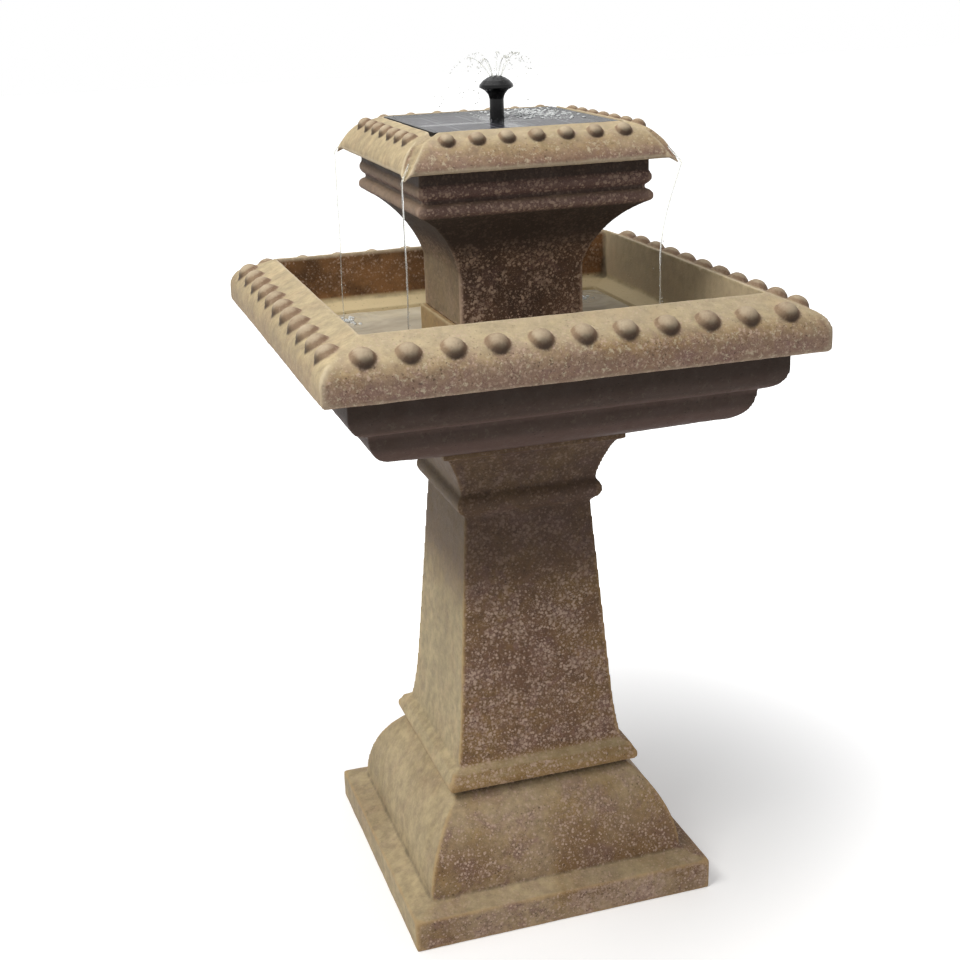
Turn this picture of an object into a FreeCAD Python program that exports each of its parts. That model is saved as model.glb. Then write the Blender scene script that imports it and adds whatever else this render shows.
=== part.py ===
import FreeCAD, Part
import Sketcher
import math
import os
import re

# A two-tier garden fountain of cast stone, in millimetres, +Z up. The origin is the centre of the plinth's
# underside. Five square castings stand on each other: plinth, shaft, lower basin, column and upper basin.
# A submersible pump stands in a chamber in the lower basin and feeds the nozzle above the solar panel.

SIZES = {
    "plinth": {
        "plinth_half": 181.5, "plinth_height": 37, "foot_half": 155, "foot_level": 45,
        "dome_top_half": 107, "dome_top": 146, "dome_bend": 141, "joint_half": 104, "plinth_wall": 9,
        "plate_thickness": 10,
    },
    "shaft": {
        "shaft_base": 153, "shaft_foot_half": 114, "shaft_foot_top": 166, "shaft_foot_bend": 8.5,
        "shaft_ledge_half": 111, "shaft_ledge_level": 172, "shaft_low_half": 101.5,
        "shaft_low_level": 178, "shaft_flare_half": 93.3, "shaft_flare_level": 237,
        "shaft_flare_bend": 600, "shaft_neck_half": 75, "shaft_neck_level": 473, "collar_half": 80,
        "collar_low": 478, "collar_high": 500, "collar_bend": 13.5, "capital_low": 504,
        "capital_high_half": 98, "capital_high": 549, "capital_bend": 160, "flange_half": 105.5,
        "flange_low": 552, "shaft_top": 559, "shaft_wall": 9, "shaft_hatch_half": 40,
    },
    "lower basin": {
        "bowl_foot_half": 110, "bowl_ovolo_half": 183.5, "bowl_ovolo_low": 586, "bowl_ovolo_bend": 35.2,
        "bowl_step_half": 210.5, "bowl_ovolo_high": 620, "bowl_step_level": 625, "bowl_round_half": 217,
        "bowl_side_half": 235, "bowl_round_bend": 25.2, "bowl_side_low": 649, "lip_level": 670,
        "lip_half": 265, "lip_edge": 3, "lip_side_high": 690, "lip_round_bend": 24,
        "lip_crown_half": 249, "lip_crown_level": 712, "lip_inner_half": 214, "lip_top": 727,
        "pool_wall_half": 211, "pool_ledge_level": 668, "pool_ledge_half": 190, "pool_cove_level": 660,
        "pool_low_half": 180, "pool_low_level": 604, "pool_floor": 575, "stud_radius": 13,
        "stud_row": 245.5, "stud_level": 707.5, "stud_pitch": 44, "curb_half": 75, "curb_top": 686,
        "chamber_half": 66, "port_width": 26, "port_height": 20,
    },
    "column": {
        "spigot_half": 65.5, "spigot_bottom": 660, "neck_half": 70, "neck_top": 746, "flare_half": 126,
        "flare_top": 816, "flare_bend": 108, "bead_low_bend": 7.3, "valley_half": 120.5,
        "valley_low": 828, "valley_high": 832, "bead_high_bend": 8.6, "band_half": 124, "band_low": 846,
        "column_top": 860, "column_bore_half": 56.5, "column_mouth_half": 112, "column_mouth_low": 822,
    },
    "upper basin": {
        "belly_half": 108, "belly_bottom": 838, "crown_half": 144, "crown_side_high": 866,
        "crown_bend": 45, "crown_round_half": 124, "crown_round_level": 890, "crown_inner_half": 105,
        "crown_top": 897, "tray_floor": 846, "tray_floor_half": 99, "tray_knee_half": 103,
        "tray_knee_level": 868, "bead_stud_radius": 9, "bead_stud_row": 122.5, "bead_stud_level": 887,
        "bead_stud_pitch": 31.5, "drip_inner_half": 138, "drip_half": 148, "drip_level": 853.5,
        "drip_width": 15, "drip_start": 186, "channel_radius": 6.5, "channel_lift": 2.5,
        "post_radius": 6, "post_reach": 80, "post_top": 880, "post_root": 2,
    },
    "panel": {
        "panel_half": 100, "panel_bottom": 882, "panel_top": 896, "panel_rim": 5, "glass_thickness": 3,
        "cell_thickness": 0.6, "cell_inner": 8, "cell_outer": 91, "cell_gap": 2, "stem_hole": 9,
        "box_length": 40, "box_width": 28, "box_bottom": 862, "box_wall": 2, "lid_thickness": 2,
        "lead_x": -22, "lead_y": 44, "lead_clearance": 1, "gland_radius": 4.5, "gland_bottom": 852,
        "lead_radius": 2.25, "grommet_radius": 5, "grommet_lip": 8, "grommet_bore": 2.6,
        "grommet_lip_thickness": 2, "pad_thickness": 2,
    },
    "water line": {
        "pipe_radius": 5, "pipe_bore": 3.6, "riser_bottom": 742, "riser_top": 915, "riser_collar": 11,
        "collar_thickness": 4, "seal_thickness": 2, "riser_nut_across": 18, "riser_nut_height": 6,
        "hose_radius": 7, "hose_bore": 5.05, "hose_bottom": 640, "hose_top": 770, "clip_radius": 8.4,
        "clip_height": 6, "clip_level": 750, "clip_ear": 7, "clip_ear_root": 1.4, "clip_gap": 1,
    },
    "nozzle": {
        "stem_radius": 7.75, "stem_bore": 5.05, "stem_bottom": 886, "stem_flare_level": 917,
        "flare_low_radius": 9, "flare_low_level": 921.5, "flare_mid_radius": 12.4,
        "flare_mid_level": 925.6, "head_radius": 18.5, "head_low": 929, "head_high": 931,
        "head_cup_radius": 13.5, "head_cup_low": 928.5, "head_seat_level": 923, "cap_edge_radius": 18,
        "cap_low": 931, "cap_edge_level": 932, "cap_shoulder_radius": 14.2, "cap_shoulder_level": 936.2,
        "cap_upper_radius": 9.4, "cap_upper_level": 939.2, "cap_flat_radius": 4, "cap_high": 941,
        "cap_cup_high": 933.5, "spray_hole": 1.1, "spray_ring": 7,
    },
    "pump": {
        "pump_half": 24, "pump_bottom": 583, "pump_height": 40, "pump_axis_level": 603, "motor_front": 9,
        "motor_back": 55, "motor_wall": 3, "stator_front": 17, "well_radius": 8.2, "well_tube": 10,
        "well_end": 39, "well_tube_end": 41, "back_thickness": 3, "volute_half": 22, "volute_height": 38,
        "chamber_radius": 14.5, "intake_thickness": 3, "inlet_radius": 7, "hub_radius": 3.6,
        "bush_radius": 2.6, "spoke_width": 2.4, "outlet_root": 614, "outlet_top": 662,
        "outlet_bore": 3.2, "outlet_radius": 4.6, "barb_height": 4, "barb_step": 0.4,
        "strainer_depth": 18, "strainer_wall": 1.6, "strainer_slot": 2.2, "strainer_slot_pitch": 5,
        "strainer_slot_height": 27, "dial_radius": 10, "dial_thickness": 2.8, "dial_gap": 0.2,
        "dial_grip_length": 18, "dial_grip": 3, "dial_stem": 2.25, "dial_hole": 2.3, "foam_half": 20,
        "foam_height": 32, "foam_thickness": 12, "foot_radius": 8, "foot_neck": 4.5, "foot_height": 8,
        "foot_reach": 15, "foot_front": 18, "foot_back": 46, "lamination_half": 20,
        "lamination_gap": 10.6, "lamination_height": 20, "yoke_front": 43, "yoke_back": 50,
        "coil_half": 9.5, "coil_turns": 1.4, "core_setback": 1, "coil_rise": 4, "rod_radius": 1.5,
        "rotor_bore": 1.55, "rotor_stem": 4, "stem_overhang": 1, "magnet_radius": 7.7,
        "magnet_front": 10, "magnet_back": 35, "blade_radius": 13, "blade_front": -6, "blade_back": 6,
        "disc_back": 7.5, "blade_thickness": 1.5, "rear_bush_front": 37, "screw_radius": 1.5,
        "screw_reach": 17, "screw_rise": 14, "screw_head": 2.7, "screw_head_height": 1.4,
        "screw_tip": 15, "screw_clearance": 0.1, "screw_end_gap": 0.5, "relief_base": 4.5,
        "relief_tip": 3, "relief_height": 8, "lead_exit_y": 46, "lead_seat": 6, "lead_rise": 24,
        "socket_x": -12, "socket_y": 40, "socket_bottom": 704, "socket_top": 726, "socket_radius": 6.5,
        "plug_top": 744, "plug_radius": 6, "plug_rise": 22, "gland_drop": 56, "pin_radius": 1.2,
        "pin_bore": 1.26, "pin_reach": 2.8, "pin_length": 10,
    },
    "construction": {"run_length": 795, "cut_margin": 1},
    "fixings": {
        "bolt_radius": 4, "bolt_head_across": 13, "bolt_head_height": 5.3, "bolt_clearance": 0.5,
        "nut_height": 6.5, "washer_radius": 8, "washer_thickness": 1.6, "seal_washer_thickness": 3,
        "seal_washer_radius": 9, "plinth_bolt_reach": 60, "basin_bolt_reach": 48, "thread_past_nut": 3,
        "hatch_floor": 547,
    },
}

FRONT = FreeCAD.Rotation(FreeCAD.Vector(1, 0, 0), 90)
SIDE = FreeCAD.Rotation(FreeCAD.Vector(0, 0, 1), 90).multiply(FRONT)
ALONG_Y = FreeCAD.Rotation(FreeCAD.Vector(1, 0, 0), -90)
MIRROR = "-1 * ("
CORNERS = ((1, 1), (-1, 1), (-1, -1), (1, -1))
LIP_STUDS = 11
CROWN_STUDS = 7
STUD_LEAN = 28
DOME_BANDS = ((1.0, 0.0), (0.9, 0.43), (0.6, 0.8), (0.0, 1.0))
BARBS = 3
SPRAYS = 6
BLADES = 5

doc = FreeCAD.newDocument("tiered_fountain")
sheet = doc.addObject("Spreadsheet::Sheet", "Sizes")
nodes = []


def fill_sheet():
    """Write every driving dimension in a named cell, one group after another."""
    row = 1
    for group, sizes in SIZES.items():
        sheet.set("A%d" % row, group)
        row += 1
        for alias, value in sizes.items():
            sheet.set("A%d" % row, alias.replace("_", " "))
            sheet.set("B%d" % row, str(value))
            sheet.setAlias("B%d" % row, alias)
            row += 1
    doc.recompute()


def bound(formula):
    """A formula of size names as an expression that reads the sheet."""
    return re.sub(r"[a-z]+_[a-z_]+", lambda word: "Sizes." + word.group(0), formula)


def measure(formula):
    """The value of a formula made of sums and products of size names and numbers."""
    if formula.startswith(MIRROR):
        return -measure(formula[len(MIRROR):-1])
    total = 0.0
    for sign, term in re.findall(r"([+-]?)\s*([^+-]+)", formula):
        product = 1.0
        for factor in term.split("*"):
            name = factor.strip()
            product *= float(name) if name[0].isdigit() else float(sheet.get(name))
        total += -product if sign == "-" else product
    return total


def place(piece, x="0", y="0", z="0", turn=None):
    """Set where a piece stands by formulas, and how it is turned."""
    if turn is not None:
        piece.Placement = FreeCAD.Placement(FreeCAD.Vector(), turn)
    for axis, formula in (("x", x), ("y", y), ("z", z)):
        if formula != "0":
            piece.setExpression(".Placement.Base." + axis, bound(formula))
    return piece


def primitive(kind, name, sizes, x="0", y="0", z="0", turn=None):
    piece = doc.addObject(kind, name)
    for prop, formula in sizes.items():
        piece.setExpression(prop, bound(formula))
    return place(piece, x, y, z, turn)


def cylinder(name, radius, height, x="0", y="0", z="0", turn=None):
    return primitive("Part::Cylinder", name, {"Radius": radius, "Height": height}, x, y, z, turn)


def cone(name, radius_low, radius_high, height, x="0", y="0", z="0"):
    sizes = {"Radius1": radius_low, "Radius2": radius_high, "Height": height}
    return primitive("Part::Cone", name, sizes, x, y, z)


def ball(name, radius, x, y, z):
    return primitive("Part::Sphere", name, {"Radius": radius}, x, y, z)


def block(name, length, width, height, x, y, z):
    """A box centred on x, starting at y and z."""
    sizes = {"Length": length, "Width": width, "Height": height}
    return primitive("Part::Box", name, sizes, "%s - 0.5 * (%s)" % (x, length), y, z)


def fused(name, pieces):
    joined = doc.addObject("Part::MultiFuse", name)
    joined.Shapes = pieces
    return joined


def cut(name, base, tools):
    """The base with every tool taken out of it."""
    trimmed = doc.addObject("Part::Cut", name)
    trimmed.Base = base
    trimmed.Tool = tools[0] if len(tools) == 1 else fused(name + "_tools", tools)
    return trimmed


def group(name, pieces):
    """Like pieces that stay separate solids in one node."""
    gathered = doc.addObject("Part::Compound", name)
    gathered.Links = pieces
    return gathered


def node(label, piece):
    """Mark a finished sub-part and give it the name that its file takes."""
    piece.Label = label
    nodes.append(piece)
    return piece


def arc_through(start, end, radius, outward):
    """The arc from start to end. Outward arcs bulge to the right of the way from start to end."""
    chord = end - start
    middle = (start + end) * 0.5
    rise = math.sqrt(max(radius * radius - chord.Length * chord.Length / 4, 0.0))
    left = FreeCAD.Vector(-chord.y, chord.x, 0).normalize()
    centre = middle + left * (rise if outward else -rise)
    first, last = (start, end) if outward else (end, start)
    angles = [math.atan2(p.y - centre.y, p.x - centre.x) for p in (first, last)]
    circle = Part.Circle(centre, FreeCAD.Vector(0, 0, 1), radius)
    return Part.ArcOfCircle(circle, angles[0], angles[1])


def pin_vertex(sketch, edge, end, x, y):
    """Hold one end of an edge at formulas for its distances from the sketch's origin."""
    for kind, formula, axis in (("DistanceX", x, -2), ("DistanceY", y, -1)):
        value = measure(formula)
        if abs(value) < 1e-9:
            sketch.addConstraint(Sketcher.Constraint("PointOnObject", edge, end, axis))
            continue
        if value > 0:
            constraint = Sketcher.Constraint(kind, -1, 1, edge, end, value)
        else:
            constraint = Sketcher.Constraint(kind, edge, end, -1, 1, -value)
        index = sketch.addConstraint(constraint)
        length = bound(formula) if value > 0 else MIRROR + bound(formula) + ")"
        sketch.setExpression("Constraints[%d]" % index, length)


def closed_sketch(name, vertices, turn):
    """A closed outline. Each vertex is x, y and, where an arc follows it, its radius and 'out' or 'in'."""
    sketch = doc.addObject("Sketcher::SketchObject", name)
    sketch.Placement = FreeCAD.Placement(FreeCAD.Vector(), turn)
    spots = [FreeCAD.Vector(measure(v[0]), measure(v[1]), 0) for v in vertices]
    ends = []
    for i, vertex in enumerate(vertices):
        start, end = spots[i], spots[(i + 1) % len(spots)]
        if len(vertex) == 2:
            sketch.addGeometry(Part.LineSegment(start, end), False)
            ends.append((1, 2))
            continue
        outward = vertex[3] == "out"
        sketch.addGeometry(arc_through(start, end, measure(vertex[2]), outward), False)
        ends.append((1, 2) if outward else (2, 1))
    for i, vertex in enumerate(vertices):
        after = (i + 1) % len(vertices)
        sketch.addConstraint(Sketcher.Constraint("Coincident", i, ends[i][1], after, ends[after][0]))
        pin_vertex(sketch, i, ends[i][0], vertex[0], vertex[1])
        if len(vertex) > 2:
            index = sketch.addConstraint(Sketcher.Constraint("Radius", i, measure(vertex[2])))
            sketch.setExpression("Constraints[%d]" % index, bound(vertex[2]))
    return sketch


def mirrored(outline):
    """The full section: the right-hand outline from the bottom up, then its mirror image back down."""
    left = []
    for i in range(len(outline) - 1, -1, -1):
        vertex = (MIRROR + outline[i][0] + ")", outline[i][1])
        bend = outline[i - 1][2:] if i else ()
        left.append(vertex + tuple(bend))
    return list(outline) + left


def square_solid(name, outline):
    """A square moulding, mitred at its corners: two runs of one section, crossing at right angles."""
    runs = []
    for suffix, turn in (("_front", FRONT), ("_side", SIDE)):
        run = doc.addObject("Part::Extrusion", name + suffix)
        run.Base = closed_sketch(name + suffix + "_section", mirrored(outline), turn)
        run.DirMode = "Normal"
        run.Solid = True
        run.Symmetric = True
        run.setExpression("LengthFwd", bound("run_length"))
        runs.append(run)
    crossing = doc.addObject("Part::MultiCommon", name)
    crossing.Shapes = runs
    return crossing


def turned(name, outline):
    """A solid of revolution about the vertical axis."""
    lathe = doc.addObject("Part::Revolution", name)
    lathe.Source = closed_sketch(name + "_section", outline, FRONT)
    lathe.Axis = FreeCAD.Vector(0, 0, 1)
    lathe.Angle = 360
    lathe.Solid = True
    return lathe


def base_plinth():
    outside = square_solid("plinth_outside", [
        ("plinth_half", "0"), ("plinth_half", "plinth_height"),
        ("foot_half", "foot_level", "dome_bend", "out"), ("dome_top_half", "dome_top"),
        ("joint_half", "dome_top"), ("joint_half", "shaft_base"),
    ])
    inside = square_solid("plinth_inside", [
        ("plinth_half - plinth_wall", "0"), ("plinth_half - plinth_wall", "plinth_height - plinth_wall"),
        ("foot_half - plinth_wall", "foot_level - plinth_wall", "dome_bend", "out"),
        ("joint_half - plinth_wall", "shaft_base - plate_thickness"),
    ])
    holes = corner_holes("plinth_hole", "plinth_bolt_reach", "shaft_base - 2 * plate_thickness")
    return node("base_plinth", cut("plinth_casting", outside, [inside] + holes))


def corner_holes(name, reach, low):
    """Four bolt holes on a square."""
    holes = []
    for i, (sx, sy) in enumerate(CORNERS):
        x, y = "%d * %s" % (sx, reach), "%d * %s" % (sy, reach)
        holes.append(cylinder("%s_%d" % (name, i), "bolt_radius + bolt_clearance", "4 * plate_thickness", x,
                              y, low))
    return holes


def pedestal_shaft():
    outside = square_solid("shaft_outside", [
        ("shaft_foot_half", "shaft_base", "shaft_foot_bend", "out"), ("shaft_foot_half", "shaft_foot_top"),
        ("shaft_ledge_half", "shaft_ledge_level"),
        ("shaft_low_half", "shaft_low_level", "shaft_flare_bend", "in"),
        ("shaft_flare_half", "shaft_flare_level"), ("shaft_neck_half", "shaft_neck_level"),
        ("collar_half", "collar_low", "collar_bend", "out"), ("collar_half", "collar_high"),
        ("collar_half", "capital_low", "capital_bend", "in"), ("capital_high_half", "capital_high"),
        ("flange_half", "flange_low"), ("flange_half", "shaft_top"),
    ])
    inside = square_solid("shaft_inside", [
        ("shaft_flare_half - shaft_wall", "shaft_base + plate_thickness"),
        ("shaft_neck_half - shaft_wall", "shaft_neck_level"),
        ("shaft_neck_half - shaft_wall", "capital_low"),
        ("capital_high_half - 2 * shaft_wall", "hatch_floor"),
    ])
    hatch = square_solid("shaft_hatch", [
        ("shaft_hatch_half", "shaft_base - plate_thickness"), ("shaft_hatch_half", "shaft_low_level"),
    ])
    holes = corner_holes("shaft_hole", "plinth_bolt_reach", "shaft_base - plate_thickness")
    holes += corner_holes("capital_hole", "basin_bolt_reach", "hatch_floor - plate_thickness")
    return node("pedestal_shaft", cut("shaft_casting", outside, [inside, hatch] + holes))


def dome(name, radius, centre, turn):
    """A round stud in three coned bands, each given by its share of the radius and of the height."""
    bands = []
    for i, ((wide, low), (narrow, high)) in enumerate(zip(DOME_BANDS, DOME_BANDS[1:])):
        band = primitive("Part::Cone", "%s_band_%d" % (name, i), {
            "Radius1": "%g * %s" % (wide, radius), "Radius2": "%g * %s" % (narrow, radius),
            "Height": "%g * %s" % (high - low, radius),
        })
        rise = turn.multVec(FreeCAD.Vector(0, 0, low * measure(radius)))
        band.Placement = FreeCAD.Placement(centre + rise, turn)
        bands.append(band)
    return bands


def stud_row(name, count, pitch, row, level, radius):
    """Domed studs along all four sides of a rim, leaning out over it."""
    studs = []
    for side in range(4):
        around = FreeCAD.Rotation(FreeCAD.Vector(0, 0, 1), 90 * side)
        turn = around.multiply(FreeCAD.Rotation(FreeCAD.Vector(1, 0, 0), STUD_LEAN))
        for i in range(count):
            along = (i - count // 2) * measure(pitch)
            centre = around.multVec(FreeCAD.Vector(along, -measure(row), measure(level)))
            studs += dome("%s_%d_%d" % (name, side, i), radius, centre, turn)
    return studs


def lower_basin():
    outside = square_solid("bowl_outside", [
        ("bowl_foot_half", "shaft_top"), ("bowl_ovolo_half", "bowl_ovolo_low", "bowl_ovolo_bend", "out"),
        ("bowl_step_half", "bowl_ovolo_high"), ("bowl_step_half", "bowl_step_level"),
        ("bowl_round_half", "bowl_step_level", "bowl_round_bend", "out"), ("bowl_side_half", "bowl_side_low"),
        ("bowl_side_half", "lip_level"), ("lip_half - lip_edge", "lip_level"),
        ("lip_half", "lip_level + lip_edge"), ("lip_half", "lip_side_high", "lip_round_bend", "out"),
        ("lip_crown_half", "lip_crown_level"), ("lip_inner_half", "lip_top"),
    ])
    pool = square_solid("pool_space", [
        ("bowl_foot_half", "pool_floor"), ("pool_low_half", "pool_low_level"),
        ("pool_ledge_half", "pool_cove_level"), ("pool_wall_half", "pool_ledge_level"),
        ("lip_inner_half", "lip_top"),
    ])
    studs = stud_row("lip_stud", LIP_STUDS, "stud_pitch", "stud_row", "stud_level", "stud_radius")
    holes = corner_holes("basin_hole", "basin_bolt_reach", "hatch_floor")
    return node("lower_basin", cut("bowl_casting", fused("bowl_with_studs", [outside] + studs),
                                   [pool] + holes))


def pump_curb():
    """The square wall that stands on the pool's floor, round the pump, and carries the column."""
    curb = square_solid("curb_outside", [("curb_half", "pool_floor"), ("curb_half", "curb_top")])
    chamber = square_solid("chamber_space", [
        ("chamber_half", "pool_floor - cut_margin"), ("chamber_half", "curb_top + cut_margin"),
    ])
    return node("pump_curb", cut("curb_wall", curb, [chamber] + water_ports()))


def water_ports():
    """The low openings through which the pool reaches the pump."""
    ports = []
    for i, (length, width) in enumerate((("port_width", "4 * curb_half"), ("4 * curb_half", "port_width"))):
        ports.append(block("water_port_%d" % i, length, width, "port_height + cut_margin", "0",
                           "-0.5 * (%s)" % width, "pool_floor - cut_margin"))
    return ports


def upper_column():
    outside = square_solid("column_outside", [
        ("spigot_half", "spigot_bottom"), ("spigot_half", "curb_top"), ("neck_half", "curb_top"),
        ("neck_half", "neck_top", "flare_bend", "in"), ("flare_half", "flare_top", "bead_low_bend", "out"),
        ("valley_half", "valley_low"), ("valley_half", "valley_high", "bead_high_bend", "out"),
        ("band_half", "band_low"), ("band_half", "column_top"),
    ])
    inside = square_solid("column_inside", [
        ("column_bore_half", "spigot_bottom"), ("column_bore_half", "neck_top", "flare_bend", "in"),
        ("column_mouth_half", "column_mouth_low"), ("column_mouth_half", "column_top"),
    ])
    return node("upper_column", cut("column_casting", outside, [inside]))


def upper_basin():
    crown = square_solid("crown_outside", [
        ("belly_half", "belly_bottom"), ("belly_half", "column_top"), ("crown_half", "column_top"),
        ("crown_half", "crown_side_high", "crown_bend", "out"), ("crown_round_half", "crown_round_level"),
        ("crown_inner_half", "crown_top"),
    ])
    tray = square_solid("tray_space", [
        ("tray_floor_half", "tray_floor"), ("tray_knee_half", "tray_knee_level"),
        ("crown_inner_half", "crown_top"),
    ])
    drips = square_solid("drip_edge", [
        ("drip_inner_half", "column_top"), ("drip_half", "drip_level"),
        ("crown_half + cut_margin", "crown_side_high"),
    ])
    bars = []
    channels = []
    for i in range(4):
        turn = FreeCAD.Rotation(FreeCAD.Vector(0, 0, 1), 45 + 90 * i)
        bars.append(spout_bar("spout_bar_%d" % i, turn))
        channels += spout_channel("spout_%d" % i, turn)
    tips = doc.addObject("Part::MultiCommon", "spout_tips")
    tips.Shapes = [drips, fused("spout_bars", bars)]
    studs = stud_row("crown_stud", CROWN_STUDS, "bead_stud_pitch", "bead_stud_row", "bead_stud_level",
                     "bead_stud_radius")
    solid = fused("crown_with_studs", [crown, tips] + studs)
    hollow = cut("crown_hollow", solid, [tray] + channels)
    posts = []
    for i, (sx, sy) in enumerate(CORNERS):
        x, y = "%d * post_reach" % sx, "%d * post_reach" % sy
        posts.append(cylinder("tray_post_%d" % i, "post_radius", "post_top - tray_floor + post_root", x, y,
                              "tray_floor - post_root"))
    floor_cut = "tray_floor - belly_bottom + 2 * cut_margin"
    holes = [
        cylinder("riser_hole", "pipe_radius", floor_cut, z="belly_bottom - cut_margin"),
        cylinder("grommet_hole", "grommet_radius", floor_cut, "lead_x", "lead_y",
                 "belly_bottom - cut_margin"),
    ]
    return node("upper_basin", cut("crown_casting", fused("crown_with_posts", [hollow] + posts), holes))


def spout_bar(name, turn):
    """The strip along a diagonal that keeps only the corner of the drip edge."""
    bar = primitive("Part::Box", name, {"Length": "drip_half", "Width": "drip_width", "Height": "drip_width"})
    start = FreeCAD.Vector(measure("drip_start"), -measure("drip_width") / 2, measure("drip_level"))
    bar.Placement = FreeCAD.Placement(turn.multVec(start), turn)
    return bar


def spout_channel(name, turn):
    """The round groove down the mitre, from the tray over the shoulder to the tip."""
    diagonal = math.sqrt(2)
    points = []
    for half, level in (("crown_inner_half", "crown_top"), ("crown_round_half", "crown_round_level"),
                        ("drip_half", "column_top")):
        points.append(turn.multVec(FreeCAD.Vector(measure(half) * diagonal, 0,
                                                  measure(level + " + channel_lift"))))
    pieces = [ball(name + "_knee", "channel_radius", "0", "0", "0")]
    pieces[0].Placement = FreeCAD.Placement(points[1], turn)
    for i, (start, end) in enumerate(((points[1], points[0]), (points[1], points[2]))):
        way = end - start
        reach = primitive("Part::Cylinder", "%s_run_%d" % (name, i), {"Radius": "channel_radius"})
        reach.Height = way.Length + measure("channel_radius")
        reach.Placement = FreeCAD.Placement(start, FreeCAD.Rotation(FreeCAD.Vector(0, 0, 1), way))
        pieces.append(reach)
    return pieces


def bolts(name, label, reach, low, length, head_below):
    """Four hexagon-headed bolts in one node."""
    pieces = []
    for i, (sx, sy) in enumerate(CORNERS):
        x, y = "%d * %s" % (sx, reach), "%d * %s" % (sy, reach)
        shank = cylinder("%s_shank_%d" % (name, i), "bolt_radius", length, x, y, low)
        level = low + " - bolt_head_height" if head_below else low + " + " + length
        head = hexagon("%s_head_%d" % (name, i), "0.5 * bolt_head_across", "bolt_head_height", x, y, level)
        pieces.append(fused("%s_%d" % (name, i), [shank, head]))
    return node(label, group(label, pieces))


def hexagon(name, inradius, height, x="0", y="0", z="0"):
    piece = doc.addObject("Part::Prism", name)
    piece.Polygon = 6
    piece.setExpression("Circumradius", "%s / cos(30)" % bound(inradius))
    piece.setExpression("Height", bound(height))
    return place(piece, x, y, z)


def rings(label, outer, inner, height, reach, level, hexagonal=False):
    """Four nuts or washers in one node."""
    pieces = []
    for i, (sx, sy) in enumerate(CORNERS):
        x, y = "%d * %s" % (sx, reach), "%d * %s" % (sy, reach)
        name = "%s_%d" % (label, i)
        make = hexagon if hexagonal else cylinder
        body = make(name + "_body", outer, height, x, y, level)
        bore = cylinder(name + "_bore", inner, "2 * (%s)" % height, x, y, "%s - 0.5 * (%s)" % (level, height))
        pieces.append(cut(name, body, [bore]))
    return node(label, group(label, pieces))


def fixings():
    plinth_grip = "2 * plate_thickness + 2 * washer_thickness + nut_height + thread_past_nut"
    plinth_low = "shaft_base - plate_thickness - washer_thickness"
    bolts("plinth_bolt", "plinth_bolts", "plinth_bolt_reach", plinth_low, plinth_grip, True)
    rings("plinth_washers", "washer_radius", "bolt_radius", "washer_thickness", "plinth_bolt_reach",
          plinth_low)
    plinth_nut_level = "shaft_base + plate_thickness"
    rings("plinth_nuts", "0.5 * bolt_head_across", "bolt_radius", "nut_height", "plinth_bolt_reach",
          plinth_nut_level, True)
    basin_grip = "pool_floor - hatch_floor + seal_washer_thickness + nut_height + thread_past_nut"
    basin_low = "hatch_floor - nut_height - thread_past_nut"
    bolts("basin_bolt", "basin_bolts", "basin_bolt_reach", basin_low, basin_grip, False)
    rings("basin_seals", "seal_washer_radius", "bolt_radius", "seal_washer_thickness", "basin_bolt_reach",
          "pool_floor")
    rings("basin_nuts", "0.5 * bolt_head_across", "bolt_radius", "nut_height", "basin_bolt_reach",
          "hatch_floor - nut_height", True)


def panel_frame():
    shell = block("frame_block", "2 * panel_half", "2 * panel_half", "panel_top - panel_bottom", "0",
                  "-1 * panel_half", "panel_bottom")
    glass_seat = block("frame_glass_seat", "2 * panel_half - 2 * panel_rim", "2 * panel_half - 2 * panel_rim",
                       "2 * glass_thickness", "0", "panel_rim - panel_half", "panel_top - glass_thickness")
    cell_half = "panel_half - 2 * panel_rim"
    well = block("frame_well", "2 * (%s)" % cell_half, "2 * (%s)" % cell_half, "panel_top - panel_bottom",
                 "0",
                 "-1 * (%s)" % cell_half, "panel_top - glass_thickness - cell_thickness")
    hole = cylinder("frame_hole", "stem_hole", "2 * panel_rim + panel_top - panel_bottom",
                    z="panel_bottom - panel_rim")
    return node("panel_frame", cut("panel_housing", shell, [glass_seat, well, hole]))


def panel_glass():
    pane = block("glass_block", "2 * panel_half - 2 * panel_rim", "2 * panel_half - 2 * panel_rim",
                 "glass_thickness", "0", "panel_rim - panel_half", "panel_top - glass_thickness")
    hole = cylinder("glass_hole", "stem_hole", "4 * glass_thickness", z="panel_top - 2 * glass_thickness")
    return node("panel_glass", cut("glass_pane", pane, [hole]))


def solar_cells():
    """Four square wafers side by side under the glass."""
    size = "cell_outer - cell_inner - cell_gap"
    level = "panel_top - glass_thickness - cell_thickness"
    wafers = []
    for i, (sx, sy) in enumerate(CORNERS):
        x = "%d * (0.5 * cell_inner + 0.5 * cell_outer)" % sx
        y = "%d * (0.5 * cell_inner + 0.5 * cell_outer) - 0.5 * (%s)" % (sy, size)
        wafers.append(block("wafer_%d" % i, size, size, "cell_thickness", x, y, level))
    return node("solar_cells", group("solar_cells", wafers))


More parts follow.
